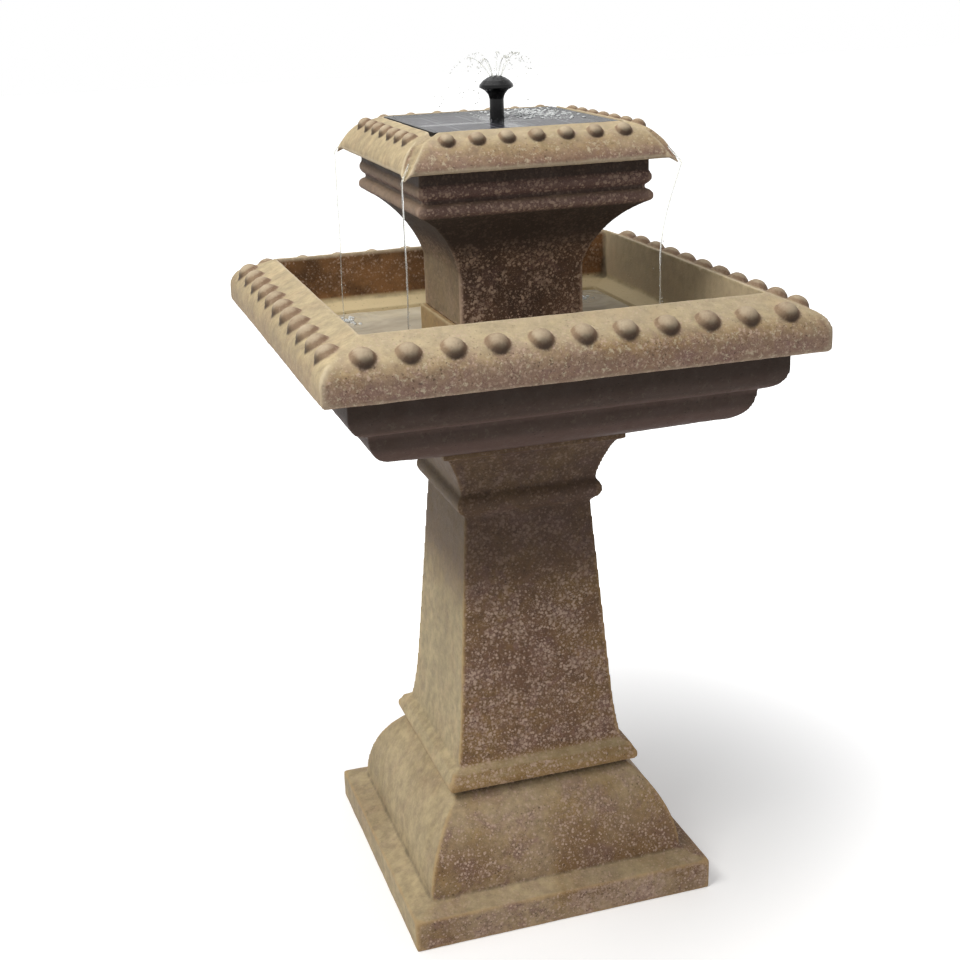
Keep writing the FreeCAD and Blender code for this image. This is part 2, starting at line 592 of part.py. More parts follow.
def junction_box():
    height = "panel_bottom - box_bottom"
    shell = block("box_block", "box_length", "box_width", height, "lead_x", "lead_y - 0.5 * box_width",
                  "box_bottom")
    space = block("box_space", "box_length - 2 * box_wall", "box_width - 2 * box_wall",
                  "panel_bottom - box_bottom - 2 * box_wall", "lead_x", "lead_y + box_wall - 0.5 * box_width",
                  "box_bottom - box_wall")
    node("junction_box", cut("box_shell", shell, [space]))
    lid = block("lid_plate", "box_length - 2 * box_wall", "box_width - 2 * box_wall", "lid_thickness",
                "lead_x", "lead_y + box_wall - 0.5 * box_width", "box_bottom")
    return node("junction_lid", cut("lid_with_hole", lid, [
        cylinder("lid_hole", "lead_radius + lead_clearance", "4 * lid_thickness", "lead_x", "lead_y",
                 "box_bottom - lid_thickness"),
    ]))


def panel_gland():
    neck = cylinder("gland_neck", "lead_radius + lead_clearance",
                    "box_bottom - gland_bottom + lid_thickness", "lead_x",
                    "lead_y", "gland_bottom")
    flange = cylinder("gland_flange", "gland_radius", "0.5 * (box_bottom - gland_bottom)", "lead_x", "lead_y",
                      "0.5 * (box_bottom + gland_bottom)")
    return node("panel_gland", fused("gland_body", [neck, flange]))


def lead_grommet():
    sleeve = cylinder("grommet_sleeve", "grommet_radius", "tray_floor - belly_bottom", "lead_x", "lead_y",
                      "belly_bottom")
    lip = cylinder("grommet_flange", "grommet_lip", "grommet_lip_thickness", "lead_x", "lead_y", "tray_floor")
    bore = cylinder("grommet_bore_run", "grommet_bore", "4 * grommet_lip + tray_floor - belly_bottom",
                    "lead_x",
                    "lead_y", "belly_bottom - grommet_lip")
    return node("lead_grommet", cut("grommet_body", fused("grommet_solid", [sleeve, lip]), [bore]))


def panel_pads():
    pads = []
    for i, (sx, sy) in enumerate(CORNERS):
        x, y = "%d * post_reach" % sx, "%d * post_reach" % sy
        pads.append(cylinder("panel_pad_%d" % i, "post_radius", "pad_thickness", x, y, "post_top"))
    return node("panel_pads", group("panel_pads", pads))


def riser():
    tube = cylinder("riser_run", "pipe_radius", "riser_top - riser_bottom", z="riser_bottom")
    collar = cylinder("riser_flange", "riser_collar", "collar_thickness",
                      z="belly_bottom - seal_thickness - collar_thickness")
    bore = cylinder("riser_bore", "pipe_bore", "2 * riser_top", z="0.5 * riser_bottom")
    node("riser_tube", cut("riser_pipe", fused("riser_solid", [tube, collar]), [bore]))
    seal = cylinder("seal_body", "riser_collar", "seal_thickness", z="belly_bottom - seal_thickness")
    seal_bore = cylinder("seal_bore", "pipe_radius", "4 * seal_thickness",
                         z="belly_bottom - 2 * seal_thickness")
    node("riser_seal", cut("seal_ring", seal, [seal_bore]))
    nut = hexagon("riser_nut_body", "0.5 * riser_nut_across", "riser_nut_height", z="tray_floor")
    nut_bore = cylinder("riser_nut_bore", "pipe_radius", "3 * riser_nut_height",
                        z="tray_floor - riser_nut_height")
    node("riser_nut", cut("riser_nut_ring", nut, [nut_bore]))


def supply_hose():
    wall = cylinder("hose_wall", "hose_radius", "hose_top - hose_bottom", z="hose_bottom")
    bore = cylinder("hose_bore_run", "hose_bore", "2 * hose_top", z="0.5 * hose_bottom")
    node("supply_hose", cut("hose_tube", wall, [bore]))
    band = cylinder("clip_band", "clip_radius", "clip_height", z="clip_level")
    ears = block("clip_ears", "0.5 * clip_ear", "clip_ear", "clip_height", "0", "clip_radius - clip_ear_root",
                 "clip_level")
    slit = block("clip_slit", "clip_gap", "2 * clip_ear", "2 * clip_height", "0", "hose_radius - cut_margin",
                 "clip_level - 0.5 * clip_height")
    clip_bore = cylinder("clip_bore", "hose_radius", "3 * clip_height", z="clip_level - clip_height")
    node("hose_clip", cut("clip_ring", fused("clip_solid", [band, ears]), [clip_bore, slit]))


def nozzle():
    node("nozzle_body", turned("nozzle_flare", [
        ("stem_bore", "stem_bottom"), ("stem_radius", "stem_bottom"),
        ("stem_radius", "stem_flare_level"), ("flare_low_radius", "flare_low_level"),
        ("flare_mid_radius", "flare_mid_level"), ("head_radius", "head_low"),
        ("head_radius", "head_high"), ("head_cup_radius", "head_high"), ("head_cup_radius", "head_cup_low"),
        ("stem_bore", "head_seat_level"),
    ]))
    dome = turned("cap_dome", [
        ("0", "cap_low"), ("cap_edge_radius", "cap_low"), ("cap_edge_radius", "cap_edge_level"),
        ("cap_shoulder_radius", "cap_shoulder_level"), ("cap_upper_radius", "cap_upper_level"),
        ("cap_flat_radius", "cap_high"), ("0", "cap_high"),
    ])
    cup = cylinder("cap_cup", "head_cup_radius", "cap_cup_high - cap_low + cut_margin",
                   z="cap_low - cut_margin")
    sprays = [cylinder("spray_centre", "spray_hole", "cap_high", z="cap_low")]
    for i in range(SPRAYS):
        angle = 360 // SPRAYS * i
        x, y = "spray_ring * cos(%d)" % angle, "spray_ring * sin(%d)" % angle
        sprays.append(cylinder("spray_%d" % i, "spray_hole", "cap_high", x, y, "cap_low"))
    node("nozzle_cap", cut("cap_shell_body", dome, [cup] + sprays))


def rod_along_y(name, radius, front, back, x="0", z="pump_axis_level"):
    """A cylinder that lies along the pump's axis, from front to back."""
    return cylinder(name, radius, "%s - (%s)" % (back, front), x, front, z, ALONG_Y)


def pump_housing():
    length = "motor_back - motor_front"
    shell = block("motor_block", "2 * pump_half", length, "pump_height", "0", "motor_front", "pump_bottom")
    relief = cone("lead_relief", "relief_base", "relief_tip", "relief_height", "0", "lead_exit_y",
                  "pump_bottom + pump_height")
    space = block("motor_space", "2 * pump_half - 2 * motor_wall", "motor_back - stator_front + cut_margin",
                  "pump_height - 2 * motor_wall", "0", "stator_front", "pump_bottom + motor_wall")
    tube = rod_along_y("well_wall", "well_tube", "stator_front - cut_margin", "well_tube_end")
    well = rod_along_y("well_space", "well_radius", "motor_front - cut_margin", "well_end")
    lead_way = cylinder("lead_way", "lead_radius", "2 * relief_height", "0", "lead_exit_y",
                        "pump_bottom + pump_height - relief_height")
    hollow = cut("motor_shell", fused("motor_solid", [shell, relief]), [space])
    screw_holes = pump_screw_rods("housing_screw_hole", "screw_radius + screw_clearance",
                                  "motor_front - cut_margin",
                                  "screw_tip + screw_end_gap")
    casing = cut("motor_casing", fused("motor_with_well", [hollow, tube]), [well, lead_way] + screw_holes)
    node("pump_housing", casing)
    plate = block("motor_back_plate", "2 * pump_half", "back_thickness", "pump_height", "0", "motor_back",
                  "pump_bottom")
    node("pump_back_cover", plate)


def pump_screw_rods(name, radius, front, back):
    rods = []
    for i, (sx, sz) in enumerate(CORNERS):
        x, z = "%d * screw_reach" % sx, "pump_axis_level + %d * screw_rise" % sz
        rods.append(rod_along_y("%s_%d" % (name, i), radius, front, back, x, z))
    return rods


def pump_volute():
    """The pump chamber with its upright hose barb."""
    body = block("volute_block", "2 * volute_half", "2 * motor_front", "volute_height", "0",
                 "-1 * motor_front",
                 "pump_axis_level - 0.5 * volute_height")
    tube = cylinder("outlet_tube", "outlet_radius", "outlet_top - outlet_root", z="outlet_root")
    barbs = []
    for i in range(BARBS):
        level = "outlet_top - %d * barb_height" % (i + 1)
        barbs.append(cone("outlet_barb_%d" % i, "pipe_radius", "outlet_radius - barb_step", "barb_height",
                          z=level))
    chamber = rod_along_y("volute_chamber", "chamber_radius", "-2 * motor_front", "2 * motor_front")
    way_out = cylinder("outlet_way", "outlet_bore", "2 * (outlet_top - outlet_root)", z="pump_axis_level")
    screw_holes = pump_screw_rods("volute_screw_hole", "screw_radius + screw_clearance", "-2 * motor_front",
                                  "2 * motor_front")
    solid = fused("volute_solid", [body, tube] + barbs)
    node("pump_volute", cut("volute_body", solid, [chamber, way_out] + screw_holes))


def intake_plate():
    front = "-1 * motor_front - intake_thickness"
    plate = block("intake_block", "2 * volute_half", "intake_thickness", "volute_height", "0", front,
                  "pump_axis_level - 0.5 * volute_height")
    inlet = rod_along_y("inlet_hole", "inlet_radius", "-4 * intake_thickness", "0")
    screw_holes = pump_screw_rods("intake_screw_hole", "screw_radius + screw_clearance", "-2 * motor_front",
                                  "0")
    rim = cut("intake_rim", plate, [inlet] + screw_holes)
    hub = rod_along_y("intake_hub", "hub_radius", front, "-1 * motor_front")
    spoke = block("intake_spoke", "2 * inlet_radius + 2 * cut_margin", "intake_thickness", "spoke_width",
                  "0", front,
                  "pump_axis_level - 0.5 * spoke_width")
    bush_hole = rod_along_y("intake_bush_hole", "bush_radius", "-4 * intake_thickness", "0")
    node("intake_plate", cut("intake_body", fused("intake_solid", [rim, hub, spoke]), [bush_hole]))
    head_front = front + " - screw_head_height"
    screws = []
    shanks = pump_screw_rods("pump_screw_shank", "screw_radius", front, "screw_tip")
    heads = pump_screw_rods("pump_screw_head", "screw_head", head_front, front)
    for i, (shank, head) in enumerate(zip(shanks, heads)):
        screws.append(fused("pump_screw_%d" % i, [shank, head]))
    node("pump_screws", group("pump_screws", screws))


def motor_inside():
    laminations = block("core_block", "2 * lamination_half", "yoke_back - stator_front - core_setback",
                        "lamination_height", "0", "stator_front + core_setback",
                        "pump_axis_level - 0.5 * lamination_height")
    gap = block("core_gap", "2 * lamination_gap", "yoke_front - stator_front", "2 * lamination_height", "0",
                "stator_front", "pump_axis_level - lamination_height")
    node("stator_core", cut("core_limbs", laminations, [gap]))
    turns = block("coil_block", "2 * coil_half", "yoke_back - yoke_front + 2 * coil_turns",
                  "lamination_height + 2 * coil_rise", "0", "yoke_front - coil_turns",
                  "pump_axis_level - 0.5 * lamination_height - coil_rise")
    core_way = block("coil_way", "4 * coil_half", "yoke_back - yoke_front", "lamination_height", "0",
                     "yoke_front", "pump_axis_level - 0.5 * lamination_height")
    node("stator_coil", cut("coil_ring", turns, [core_way]))
    front = "-1 * motor_front - intake_thickness"
    node("impeller_shaft", rod_along_y("rotor_rod", "rod_radius", front, "well_end"))
    bushes = []
    for name, radius, low, high in (
        ("front_bush", "bush_radius", front, "-1 * motor_front"),
        ("rear_bush", "well_radius", "rear_bush_front", "well_end"),
    ):
        body = rod_along_y(name + "_body", radius, low, high)
        bore = rod_along_y(name + "_bore", "rod_radius", low + " - cut_margin", high + " + cut_margin")
        bushes.append(cut(name, body, [bore]))
    node("shaft_bushes", group("shaft_bushes", bushes))


def impeller():
    """Five flat blades on a disc, with a hollow stem that carries the magnet."""
    disc = rod_along_y("rotor_disc", "blade_radius", "blade_back", "disc_back")
    stem = rod_along_y("rotor_stem_rod", "rotor_stem", "blade_front - stem_overhang",
                       "magnet_back + stem_overhang")
    blades = []
    hub = FreeCAD.Vector(0, measure("blade_front"), measure("pump_axis_level"))
    for i in range(BLADES):
        blade = primitive("Part::Box", "blade_%d" % i, {
            "Length": "blade_radius", "Width": "blade_back - blade_front", "Height": "blade_thickness",
        })
        turn = FreeCAD.Rotation(FreeCAD.Vector(0, 1, 0), 360 / BLADES * i)
        half_thick = turn.multVec(FreeCAD.Vector(0, 0, -measure("0.5 * blade_thickness")))
        blade.Placement = FreeCAD.Placement(hub + half_thick, turn)
        blades.append(blade)
    bore = rod_along_y("rotor_bore_run", "rotor_bore", "2 * blade_front", "2 * magnet_back")
    node("impeller", cut("rotor_body", fused("rotor_solid", [disc, stem] + blades), [bore]))
    magnet = rod_along_y("magnet_body", "magnet_radius", "magnet_front", "magnet_back")
    magnet_bore = rod_along_y("magnet_bore", "rotor_stem", "magnet_front - cut_margin",
                              "magnet_back + cut_margin")
    node("rotor_magnet", cut("magnet_ring", magnet, [magnet_bore]))


def strainer():
    back = "-1 * motor_front - intake_thickness"
    front = back + " - strainer_depth"
    low = "pump_axis_level - 0.5 * volute_height"
    shell = block("strainer_block", "2 * volute_half", "strainer_depth", "volute_height", "0", front, low)
    space = block("strainer_space", "2 * volute_half - 2 * strainer_wall", "strainer_depth",
                  "volute_height - 2 * strainer_wall", "0", front + " + strainer_wall",
                  low + " + strainer_wall")
    slots = []
    for i in (-3, -2, 2, 3):
        slots.append(block("strainer_slot_%d" % (i + 3), "strainer_slot", "3 * strainer_wall",
                           "strainer_slot_height", "%d * strainer_slot_pitch" % i, front + " - strainer_wall",
                           "pump_axis_level - 0.5 * strainer_slot_height"))
    hole = rod_along_y("dial_hole_run", "dial_hole", front + " - cut_margin", back)
    node("strainer_cover", cut("strainer_body", shell, [space, hole] + slots))
    foam = block("foam_block", "2 * foam_half", "foam_thickness", "foam_height", "0",
                 front + " + strainer_wall", "pump_axis_level - 0.5 * foam_height")
    foam_hole = rod_along_y("foam_hole", "2 * dial_hole", front, back)
    node("filter_foam", cut("foam_body", foam, [foam_hole]))
    dial_back = front + " - dial_gap"
    disc = rod_along_y("dial_disc", "dial_radius", dial_back + " - dial_thickness", dial_back)
    grip = block("dial_grip_bar", "dial_grip", "dial_grip", "dial_grip_length", "0",
                 dial_back + " - dial_thickness - dial_grip", "pump_axis_level - 0.5 * dial_grip_length")
    stem = rod_along_y("dial_stem_rod", "dial_stem", dial_back + " - cut_margin",
                       front + " + 4 * strainer_wall")
    node("flow_dial", fused("dial_body", [disc, grip, stem]))


def suction_feet():
    feet = []
    for i, (sx, y) in enumerate(((1, "foot_front"), (-1, "foot_front"), (1, "foot_back"), (-1, "foot_back"))):
        feet.append(cone("suction_foot_%d" % i, "foot_radius", "foot_neck", "foot_height",
                         "%d * foot_reach" % sx, y, "pool_floor"))
    return node("suction_feet", group("suction_feet", feet))


def rounded_route(points):
    """Straight runs joined by tangent arcs, each as large as its two runs allow."""
    edges = []
    start = points[0]
    for before, corner, after in zip(points, points[1:], points[2:]):
        into, out = (before - corner), (after - corner)
        reach = 0.45 * min(into.Length, out.Length)
        into.normalize()
        out.normalize()
        half_turn = (math.pi - into.getAngle(out)) / 2
        radius = reach / math.tan(half_turn)
        print("lead bend radius %.1f" % radius)
        bisector = (into + out).normalize()
        middle = corner + bisector * (radius / math.cos(half_turn) - radius)
        arc_start, arc_end = corner + into * reach, corner + out * reach
        edges.append(Part.LineSegment(start, arc_start).toShape())
        edges.append(Part.Arc(arc_start, middle, arc_end).toShape())
        start = arc_end
    edges.append(Part.LineSegment(start, points[-1]).toShape())
    return Part.Wire(edges)


def lead(label, stations):
    """A round lead along its route. Its sizes come from the sheet and its ends meet what holds them."""
    points = [FreeCAD.Vector(*[measure(formula) for formula in station]) for station in stations]
    route = rounded_route(points)
    section = Part.Wire(Part.makeCircle(measure("lead_radius"), points[0], points[1] - points[0]))
    tube = route.makePipeShell([section], True, False)
    print("%s volume %.0f, section times length %.0f"
          % (label, tube.Volume, math.pi * measure("lead_radius") ** 2 * route.Length))
    piece = doc.addObject("Part::Feature", label)
    piece.Shape = tube
    return node(label, piece)


def leads():
    lead("pump_lead", [
        ("0", "lead_exit_y", "pump_bottom + pump_height + relief_height - lead_seat"),
        ("0", "lead_exit_y", "pump_bottom + pump_height + relief_height + lead_rise"),
        ("socket_x", "socket_y", "socket_bottom - lead_rise"),
        ("socket_x", "socket_y", "socket_bottom"),
    ])
    lead("panel_lead", [
        ("socket_x", "socket_y", "plug_top"),
        ("socket_x", "socket_y", "plug_top + plug_rise"),
        ("lead_x", "lead_y", "gland_bottom - gland_drop"),
        ("lead_x", "lead_y", "gland_bottom"),
    ])
    pins = []
    bores = []
    for i, side in enumerate((1, -1)):
        x = "socket_x + %d * pin_reach" % side
        pins.append(cylinder("lead_pin_%d" % i, "pin_radius", "pin_length + cut_margin", x, "socket_y",
                             "socket_top - pin_length"))
        bores.append(cylinder("lead_pin_bore_%d" % i, "pin_bore", "2 * pin_length", x, "socket_y",
                              "socket_top - pin_length - cut_margin"))
    socket = cylinder("socket_barrel", "socket_radius", "socket_top - socket_bottom", "socket_x", "socket_y",
                      "socket_bottom")
    node("lead_socket", cut("socket_body", socket, bores))
    plug = cylinder("plug_barrel", "plug_radius", "plug_top - socket_top", "socket_x", "socket_y",
                    "socket_top")
    node("lead_plug", fused("plug_body", [plug] + pins))


def export():
    """Stop at anything that failed to build, then write one file for each sub-part."""
    doc.recompute()
    for piece in doc.Objects:
        if "Invalid" in piece.State or "Error" in piece.State:
            raise RuntimeError("%s did not build: %s" % (piece.Name, piece.State))
    os.makedirs("parts", exist_ok=True)
    for piece in nodes:
        shape = piece.Shape
        if shape.isNull() or not shape.isValid() or not shape.Solids:
            raise RuntimeError("%s is not a valid solid" % piece.Label)
        shape.exportStep(os.path.join("parts", piece.Label + ".step"))
        print("%-18s %2d solids %10.0f mm3" % (piece.Label, len(shape.Solids), shape.Volume))


fill_sheet()
base_plinth()
pedestal_shaft()
lower_basin()
pump_curb()
fixings()
upper_column()
upper_basin()
panel_frame()
panel_glass()
solar_cells()
junction_box()
panel_gland()
lead_grommet()
panel_pads()
riser()
supply_hose()
nozzle()
pump_housing()
pump_volute()
intake_plate()
motor_inside()
impeller()
strainer()
suction_feet()
leads()
export()
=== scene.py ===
import math
import random

import bmesh
import bpy
import numpy as np
from bpy.props import FloatProperty, FloatVectorProperty, IntProperty, PointerProperty
from mathutils import Matrix, Vector, kdtree


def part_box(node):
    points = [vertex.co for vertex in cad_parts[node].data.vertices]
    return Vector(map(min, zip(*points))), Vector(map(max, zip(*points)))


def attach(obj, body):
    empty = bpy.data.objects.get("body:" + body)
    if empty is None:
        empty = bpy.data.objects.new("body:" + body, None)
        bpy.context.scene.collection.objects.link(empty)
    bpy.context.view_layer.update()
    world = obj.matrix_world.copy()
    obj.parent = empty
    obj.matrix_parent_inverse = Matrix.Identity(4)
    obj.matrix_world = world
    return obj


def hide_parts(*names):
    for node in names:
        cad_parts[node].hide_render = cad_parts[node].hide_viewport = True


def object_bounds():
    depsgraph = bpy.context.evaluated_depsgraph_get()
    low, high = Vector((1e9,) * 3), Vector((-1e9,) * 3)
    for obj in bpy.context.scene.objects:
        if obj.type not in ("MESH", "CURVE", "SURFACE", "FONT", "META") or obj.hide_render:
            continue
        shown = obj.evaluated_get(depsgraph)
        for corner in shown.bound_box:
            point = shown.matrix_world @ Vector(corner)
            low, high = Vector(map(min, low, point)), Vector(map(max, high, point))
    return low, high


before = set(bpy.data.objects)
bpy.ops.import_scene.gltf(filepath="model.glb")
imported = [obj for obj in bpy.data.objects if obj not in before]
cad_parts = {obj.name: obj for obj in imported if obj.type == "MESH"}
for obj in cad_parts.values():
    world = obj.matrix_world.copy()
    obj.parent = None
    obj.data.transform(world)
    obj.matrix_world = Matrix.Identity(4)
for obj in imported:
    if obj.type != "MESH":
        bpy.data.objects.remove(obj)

bl_info = {
    "name": "Tiered garden fountain",
    "version": (1, 0, 0),
    "blender": (4, 5, 0),
    "location": "View3D > Sidebar > Fountain",
    "description": "Finishes the stone castings, solar panel, nozzle, pump and water of a two-tier fountain",
    "category": "Object",
}

CAD_BOX = [list(corner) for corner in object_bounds()]
RIM_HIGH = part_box("lower_basin")[1]
UPPER_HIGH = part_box("upper_basin")[1]
GLASS_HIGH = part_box("panel_glass")[1]
CAP_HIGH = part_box("nozzle_cap")[1]
MM = 0.001
JET_STEPS, JET_SIDES = 12, 8
STREAM_STEPS, STREAM_SIDES = 30, 10
FLOOR_HALF = 14.0


def colour_property(name, description, default):
    return FloatVectorProperty(name=name, description=description, default=default, size=3, min=0.0, max=1.0,
                               subtype="COLOR")


def length_property(name, description, default):
    return FloatProperty(name=name, description=description, default=default, unit="LENGTH",
                         subtype="DISTANCE")


def angle_property(name, description, degrees):
    return FloatProperty(name=name, description=description, default=math.radians(degrees), subtype="ANGLE")


def amount_property(name, description, default, unit="NONE"):
    return FloatProperty(name=name, description=description, default=default, min=0.0, unit=unit)


def count_property(name, description, default):
    return IntProperty(name=name, description=description, default=default, min=1)


class StoneSettings(bpy.types.PropertyGroup):
    # Pale also paints light: on the rims' tops, with dust, and on the basin's inner wall that faces the key
    # lamp.
    pale: colour_property("Pale wash", "Sandy limewash on the rims' tops and edges", (0.60, 0.51, 0.36))
    gold: colour_property("Gold", "Ochre rubbed edges of the shaft and plinth", (0.46, 0.30, 0.135))
    # Khaki is painted light: the paler colour given to the sides that face the key lamp. It also colours the
    # curb's edges and the pool's ledge.
    khaki: colour_property("Khaki", "Bleached wash on the sides that the sun reaches", (0.43, 0.350, 0.205))
    beige: colour_property("Beige", "Base colour of the rims", (0.36, 0.26, 0.155))
    brown: colour_property("Brown", "Base colour of the shaft and studs", (0.160, 0.088, 0.052))
    ochre: colour_property("Ochre", "Warm stain in broad patches", (0.27, 0.165, 0.060))
    # Mauve is a pinkish stain, and also painted light: the floor's bounce on the basin's moulding bellies and
    # a highlight line on the column's beads.
    mauve: colour_property("Mauve", "Pinkish stain low on the outer faces", (0.23, 0.135, 0.115))
    # Umber is a dark wash, and also painted shade under the overhangs: on the shaft's top, the column and the
    # basin's mouldings.
    umber: colour_property("Umber", "Dark wash on the column and mouldings", (0.034, 0.019, 0.014))
    rust: colour_property("Rust", "Stain inside the basins", (0.19, 0.092, 0.034))
    # The darkest colour: real pits and soiling, and painted shade in creases, in the gap under the shaft,
    # under the studs, under the basin's lip and on the column's upper part.
    dirt_and_shade: colour_property("Dirt and shade", "What gathers in corners and under the studs", (0.020, 0.012, 0.007))
    fleck: colour_property("Fleck", "Pale chips in the wash", (0.52, 0.375, 0.285))
    fine_cell: length_property("Fine cell", "Cell of the remeshed upper castings", 1.35 * MM)
    middle_cell: length_property("Middle cell", "Cell of the remeshed shaft and plinth", 1.7 * MM)
    broad_cell: length_property("Broad cell", "Cell of the remeshed basin", 2.0 * MM)
    wave: length_property("Wave", "Height of the slow unevenness of the faces", 0.9 * MM)
    grain: length_property("Grain", "Height of the coarse grain on faces and edges", 0.55 * MM)
    kept: amount_property("Kept", "Share of faces kept after weathering", 0.26)


class StudSettings(bpy.types.PropertyGroup):
    rim_pitch: length_property("Rim stud pitch", "Spacing of the studs on the lower rim", 44 * MM)
    rim_row: length_property("Rim stud row", "Distance of the stud row from the centre line", 246.4 * MM)
    rim_drop: length_property("Rim stud drop", "Depth of the stud centres below the rim's top", 18.4 * MM)
    rim_radius: length_property("Rim stud radius", "Radius of the domes", 13.6 * MM)
    rim_count: count_property("Rim studs", "Studs on each side of the lower rim", 11)
    upper_pitch: length_property("Upper stud pitch", "Spacing of the studs on the upper rim", 31.5 * MM)
    upper_row: length_property("Upper stud row", "Distance of the stud row from the centre line", 123 * MM)
    upper_drop: length_property("Upper stud drop", "Depth of the stud centres below the rim's top", 9.3 * MM)
    upper_radius: length_property("Upper stud radius", "Radius of the domes", 9.2 * MM)
    upper_count: count_property("Upper studs", "Studs on each side of the upper rim", 7)


class WaterSettings(bpy.types.PropertyGroup):
    tint: colour_property("Water tint", "Colour of the water in depth", (0.86, 0.86, 0.80))
    # The pool's milky colour is painted reflection of the pale surroundings, with some silt and air.
    murk_and_reflection: colour_property("Murk", "Colour of the pool where air and silt cloud it", (0.86, 0.78, 0.62))
    foam: colour_property("Foam", "Colour of the froth", (0.86, 0.88, 0.88))
    pool_drop: length_property("Pool drop", "Depth of the pool's surface below the rim's top", 71 * MM)
    pool_half: length_property("Pool half", "Half width of the pool's surface", 191.5 * MM)
    tray_drop: length_property("Tray drop", "Depth of the tray's surface below the upper basin's top", 8 * MM)
    tray_half: length_property("Tray half", "Half width of the tray's surface", 106 * MM)
    curb_half: length_property("Curb half", "Half width of the hole in the pool for the curb", 74 * MM)
    stream_radius: length_property("Stream radius", "Radius of the falling streams", 0.80 * MM)
    clear_air: length_property("Clear air", "Room under the spray's drops for lifting the panel", 14 * MM)
    jets: count_property("Jets", "Jets that rise from the nozzle", 7)
    jet_drops: count_property("Jet drops", "Drops that each jet breaks into", 34)
    jet_rise: length_property("Jet rise", "Height of the spray above the nozzle", 24 * MM)
    panel_drops: count_property("Panel drops", "Drops strewn over the panel", 420)
    foot_bubbles: count_property("Foot bubbles", "Bubbles where each stream meets the pool", 90)
    stream_drops: count_property("Stream drops", "Loose drops beside each stream", 16)


class FittingSettings(bpy.types.PropertyGroup):
    black: colour_property("Black plastic", "Nozzle, panel frame and pump", (0.012, 0.012, 0.013))
    wafer: colour_property("Wafer", "Solar cells", (0.050, 0.042, 0.056))
    zinc: colour_property("Zinc", "Bolts, nuts and washers", (0.56, 0.57, 0.58))
    rubber: colour_property("Rubber", "Seals, feet and lead sheaths", (0.022, 0.022, 0.023))
    copper: colour_property("Copper", "Winding of the motor", (0.62, 0.26, 0.12))
    foam: colour_property("Filter foam", "Open-cell foam of the strainer", (0.035, 0.036, 0.04))


class StageSettings(bpy.types.PropertyGroup):
    azimuth: angle_property("Azimuth", "Camera angle round the fountain", -17.28)
    elevation: angle_property("Elevation", "Camera angle above level", 19.04)
    roll: angle_property("Roll", "Lean of the camera", -1.89)
    distance: length_property("Distance", "Camera's distance from the aim point", 1.737)
    aim_height: length_property("Aim height", "Height of the aim point", 0.4844)
    aim_side: length_property("Aim side", "Sideways offset of the aim point", -0.0313)
    lens: amount_property("Lens", "Focal length in millimetres", 55.72, "CAMERA")
    key: amount_property("Key light", "Power of the light from the left", 54, "POWER")
    top: amount_property("Top light", "Power of the light from above", 20, "POWER")
    fill: amount_property("Sky", "Strength of the even light from all round", 0.32)
    floor: colour_property("Floor", "Pale floor", (0.88, 0.88, 0.88))
    near: length_property("Near floor", "Distance from the middle up to which the floor takes shadows", 0.22)
    far: length_property("Far floor", "Distance from the middle where the floor turns plain white", 0.90)


class FountainSettings(bpy.types.PropertyGroup):
    stone: PointerProperty(type=StoneSettings)
    studs: PointerProperty(type=StudSettings)
    water: PointerProperty(type=WaterSettings)
    fittings: PointerProperty(type=FittingSettings)
    stage: PointerProperty(type=StageSettings)


def settings():
    return bpy.context.scene.fountain


# Meshes

def add_object(name, data):
    obj = bpy.data.objects.new(name, data)
    bpy.context.scene.collection.objects.link(obj)
    return obj


def mesh_object(name, points, faces, smooth=True):
    mesh = bpy.data.meshes.new(name)
    mesh.from_pydata([tuple(p) for p in points], [], [tuple(f) for f in faces])
    mesh.validate()
    mesh.update()
    mesh.polygons.foreach_set("use_smooth", [smooth] * len(mesh.polygons))
    return add_object(name, mesh)


def settle(obj):
    """Turn the object's modifiers into its mesh."""
    bpy.context.view_layer.update()
    graph = bpy.context.evaluated_depsgraph_get()
    mesh = bpy.data.meshes.new_from_object(obj.evaluated_get(graph), depsgraph=graph)
    old = obj.data
    obj.modifiers.clear()
    obj.data = mesh
    bpy.data.meshes.remove(old)
    return mesh


def vertex_array(mesh, kind="co"):
    values = np.zeros(len(mesh.vertices) * 3, np.float32)
    source = mesh.vertices if kind == "co" else mesh.vertex_normals
    source.foreach_get(kind, values)
    return values.reshape(-1, 3).astype(float)


def edge_array(mesh):
    pairs = np.zeros(len(mesh.edges) * 2, np.int32)
    mesh.edges.foreach_get("vertices", pairs)
    return pairs.reshape(-1, 2)


def spread(values, edges, rounds):
    """Average every vertex's values with its neighbours', some rounds over."""
    count = np.bincount(edges.ravel(), minlength=len(values)).astype(float)
    for _ in range(rounds):
        total = np.zeros_like(values)
        np.add.at(total, edges[:, 0], values[edges[:, 1]])
        np.add.at(total, edges[:, 1], values[edges[:, 0]])
        values = total / count.reshape((-1,) + (1,) * (values.ndim - 1))
    return values


def store(mesh, name, values):
    layer = mesh.attributes.new(name, "FLOAT", "POINT")
    layer.data.foreach_set("value", np.ascontiguousarray(values, np.float32))


def displace(obj, name, scale, height):
    texture = bpy.data.textures.new(name, "CLOUDS")
    texture.noise_scale = scale
    modifier = obj.modifiers.new(name, "DISPLACE")
    modifier.texture = texture
    modifier.texture_coords = "LOCAL"
    modifier.strength = height
    modifier.mid_level = 0.5
    return texture


def point_tree(points):
    tree = kdtree.KDTree(len(points))
    for i, point in enumerate(points):
        tree.insert(point, i)
    tree.balance()
    return tree


def stud_centres(pitch, row, level, count):
    """Centres of the domes along the four sides of a rim."""
    centres = []
    for i in range(count):
        along = (i - (count - 1) / 2) * pitch
        centres += [(along, -row, level), (along, row, level), (-row, along, level), (row, along, level)]
    return np.array(centres)


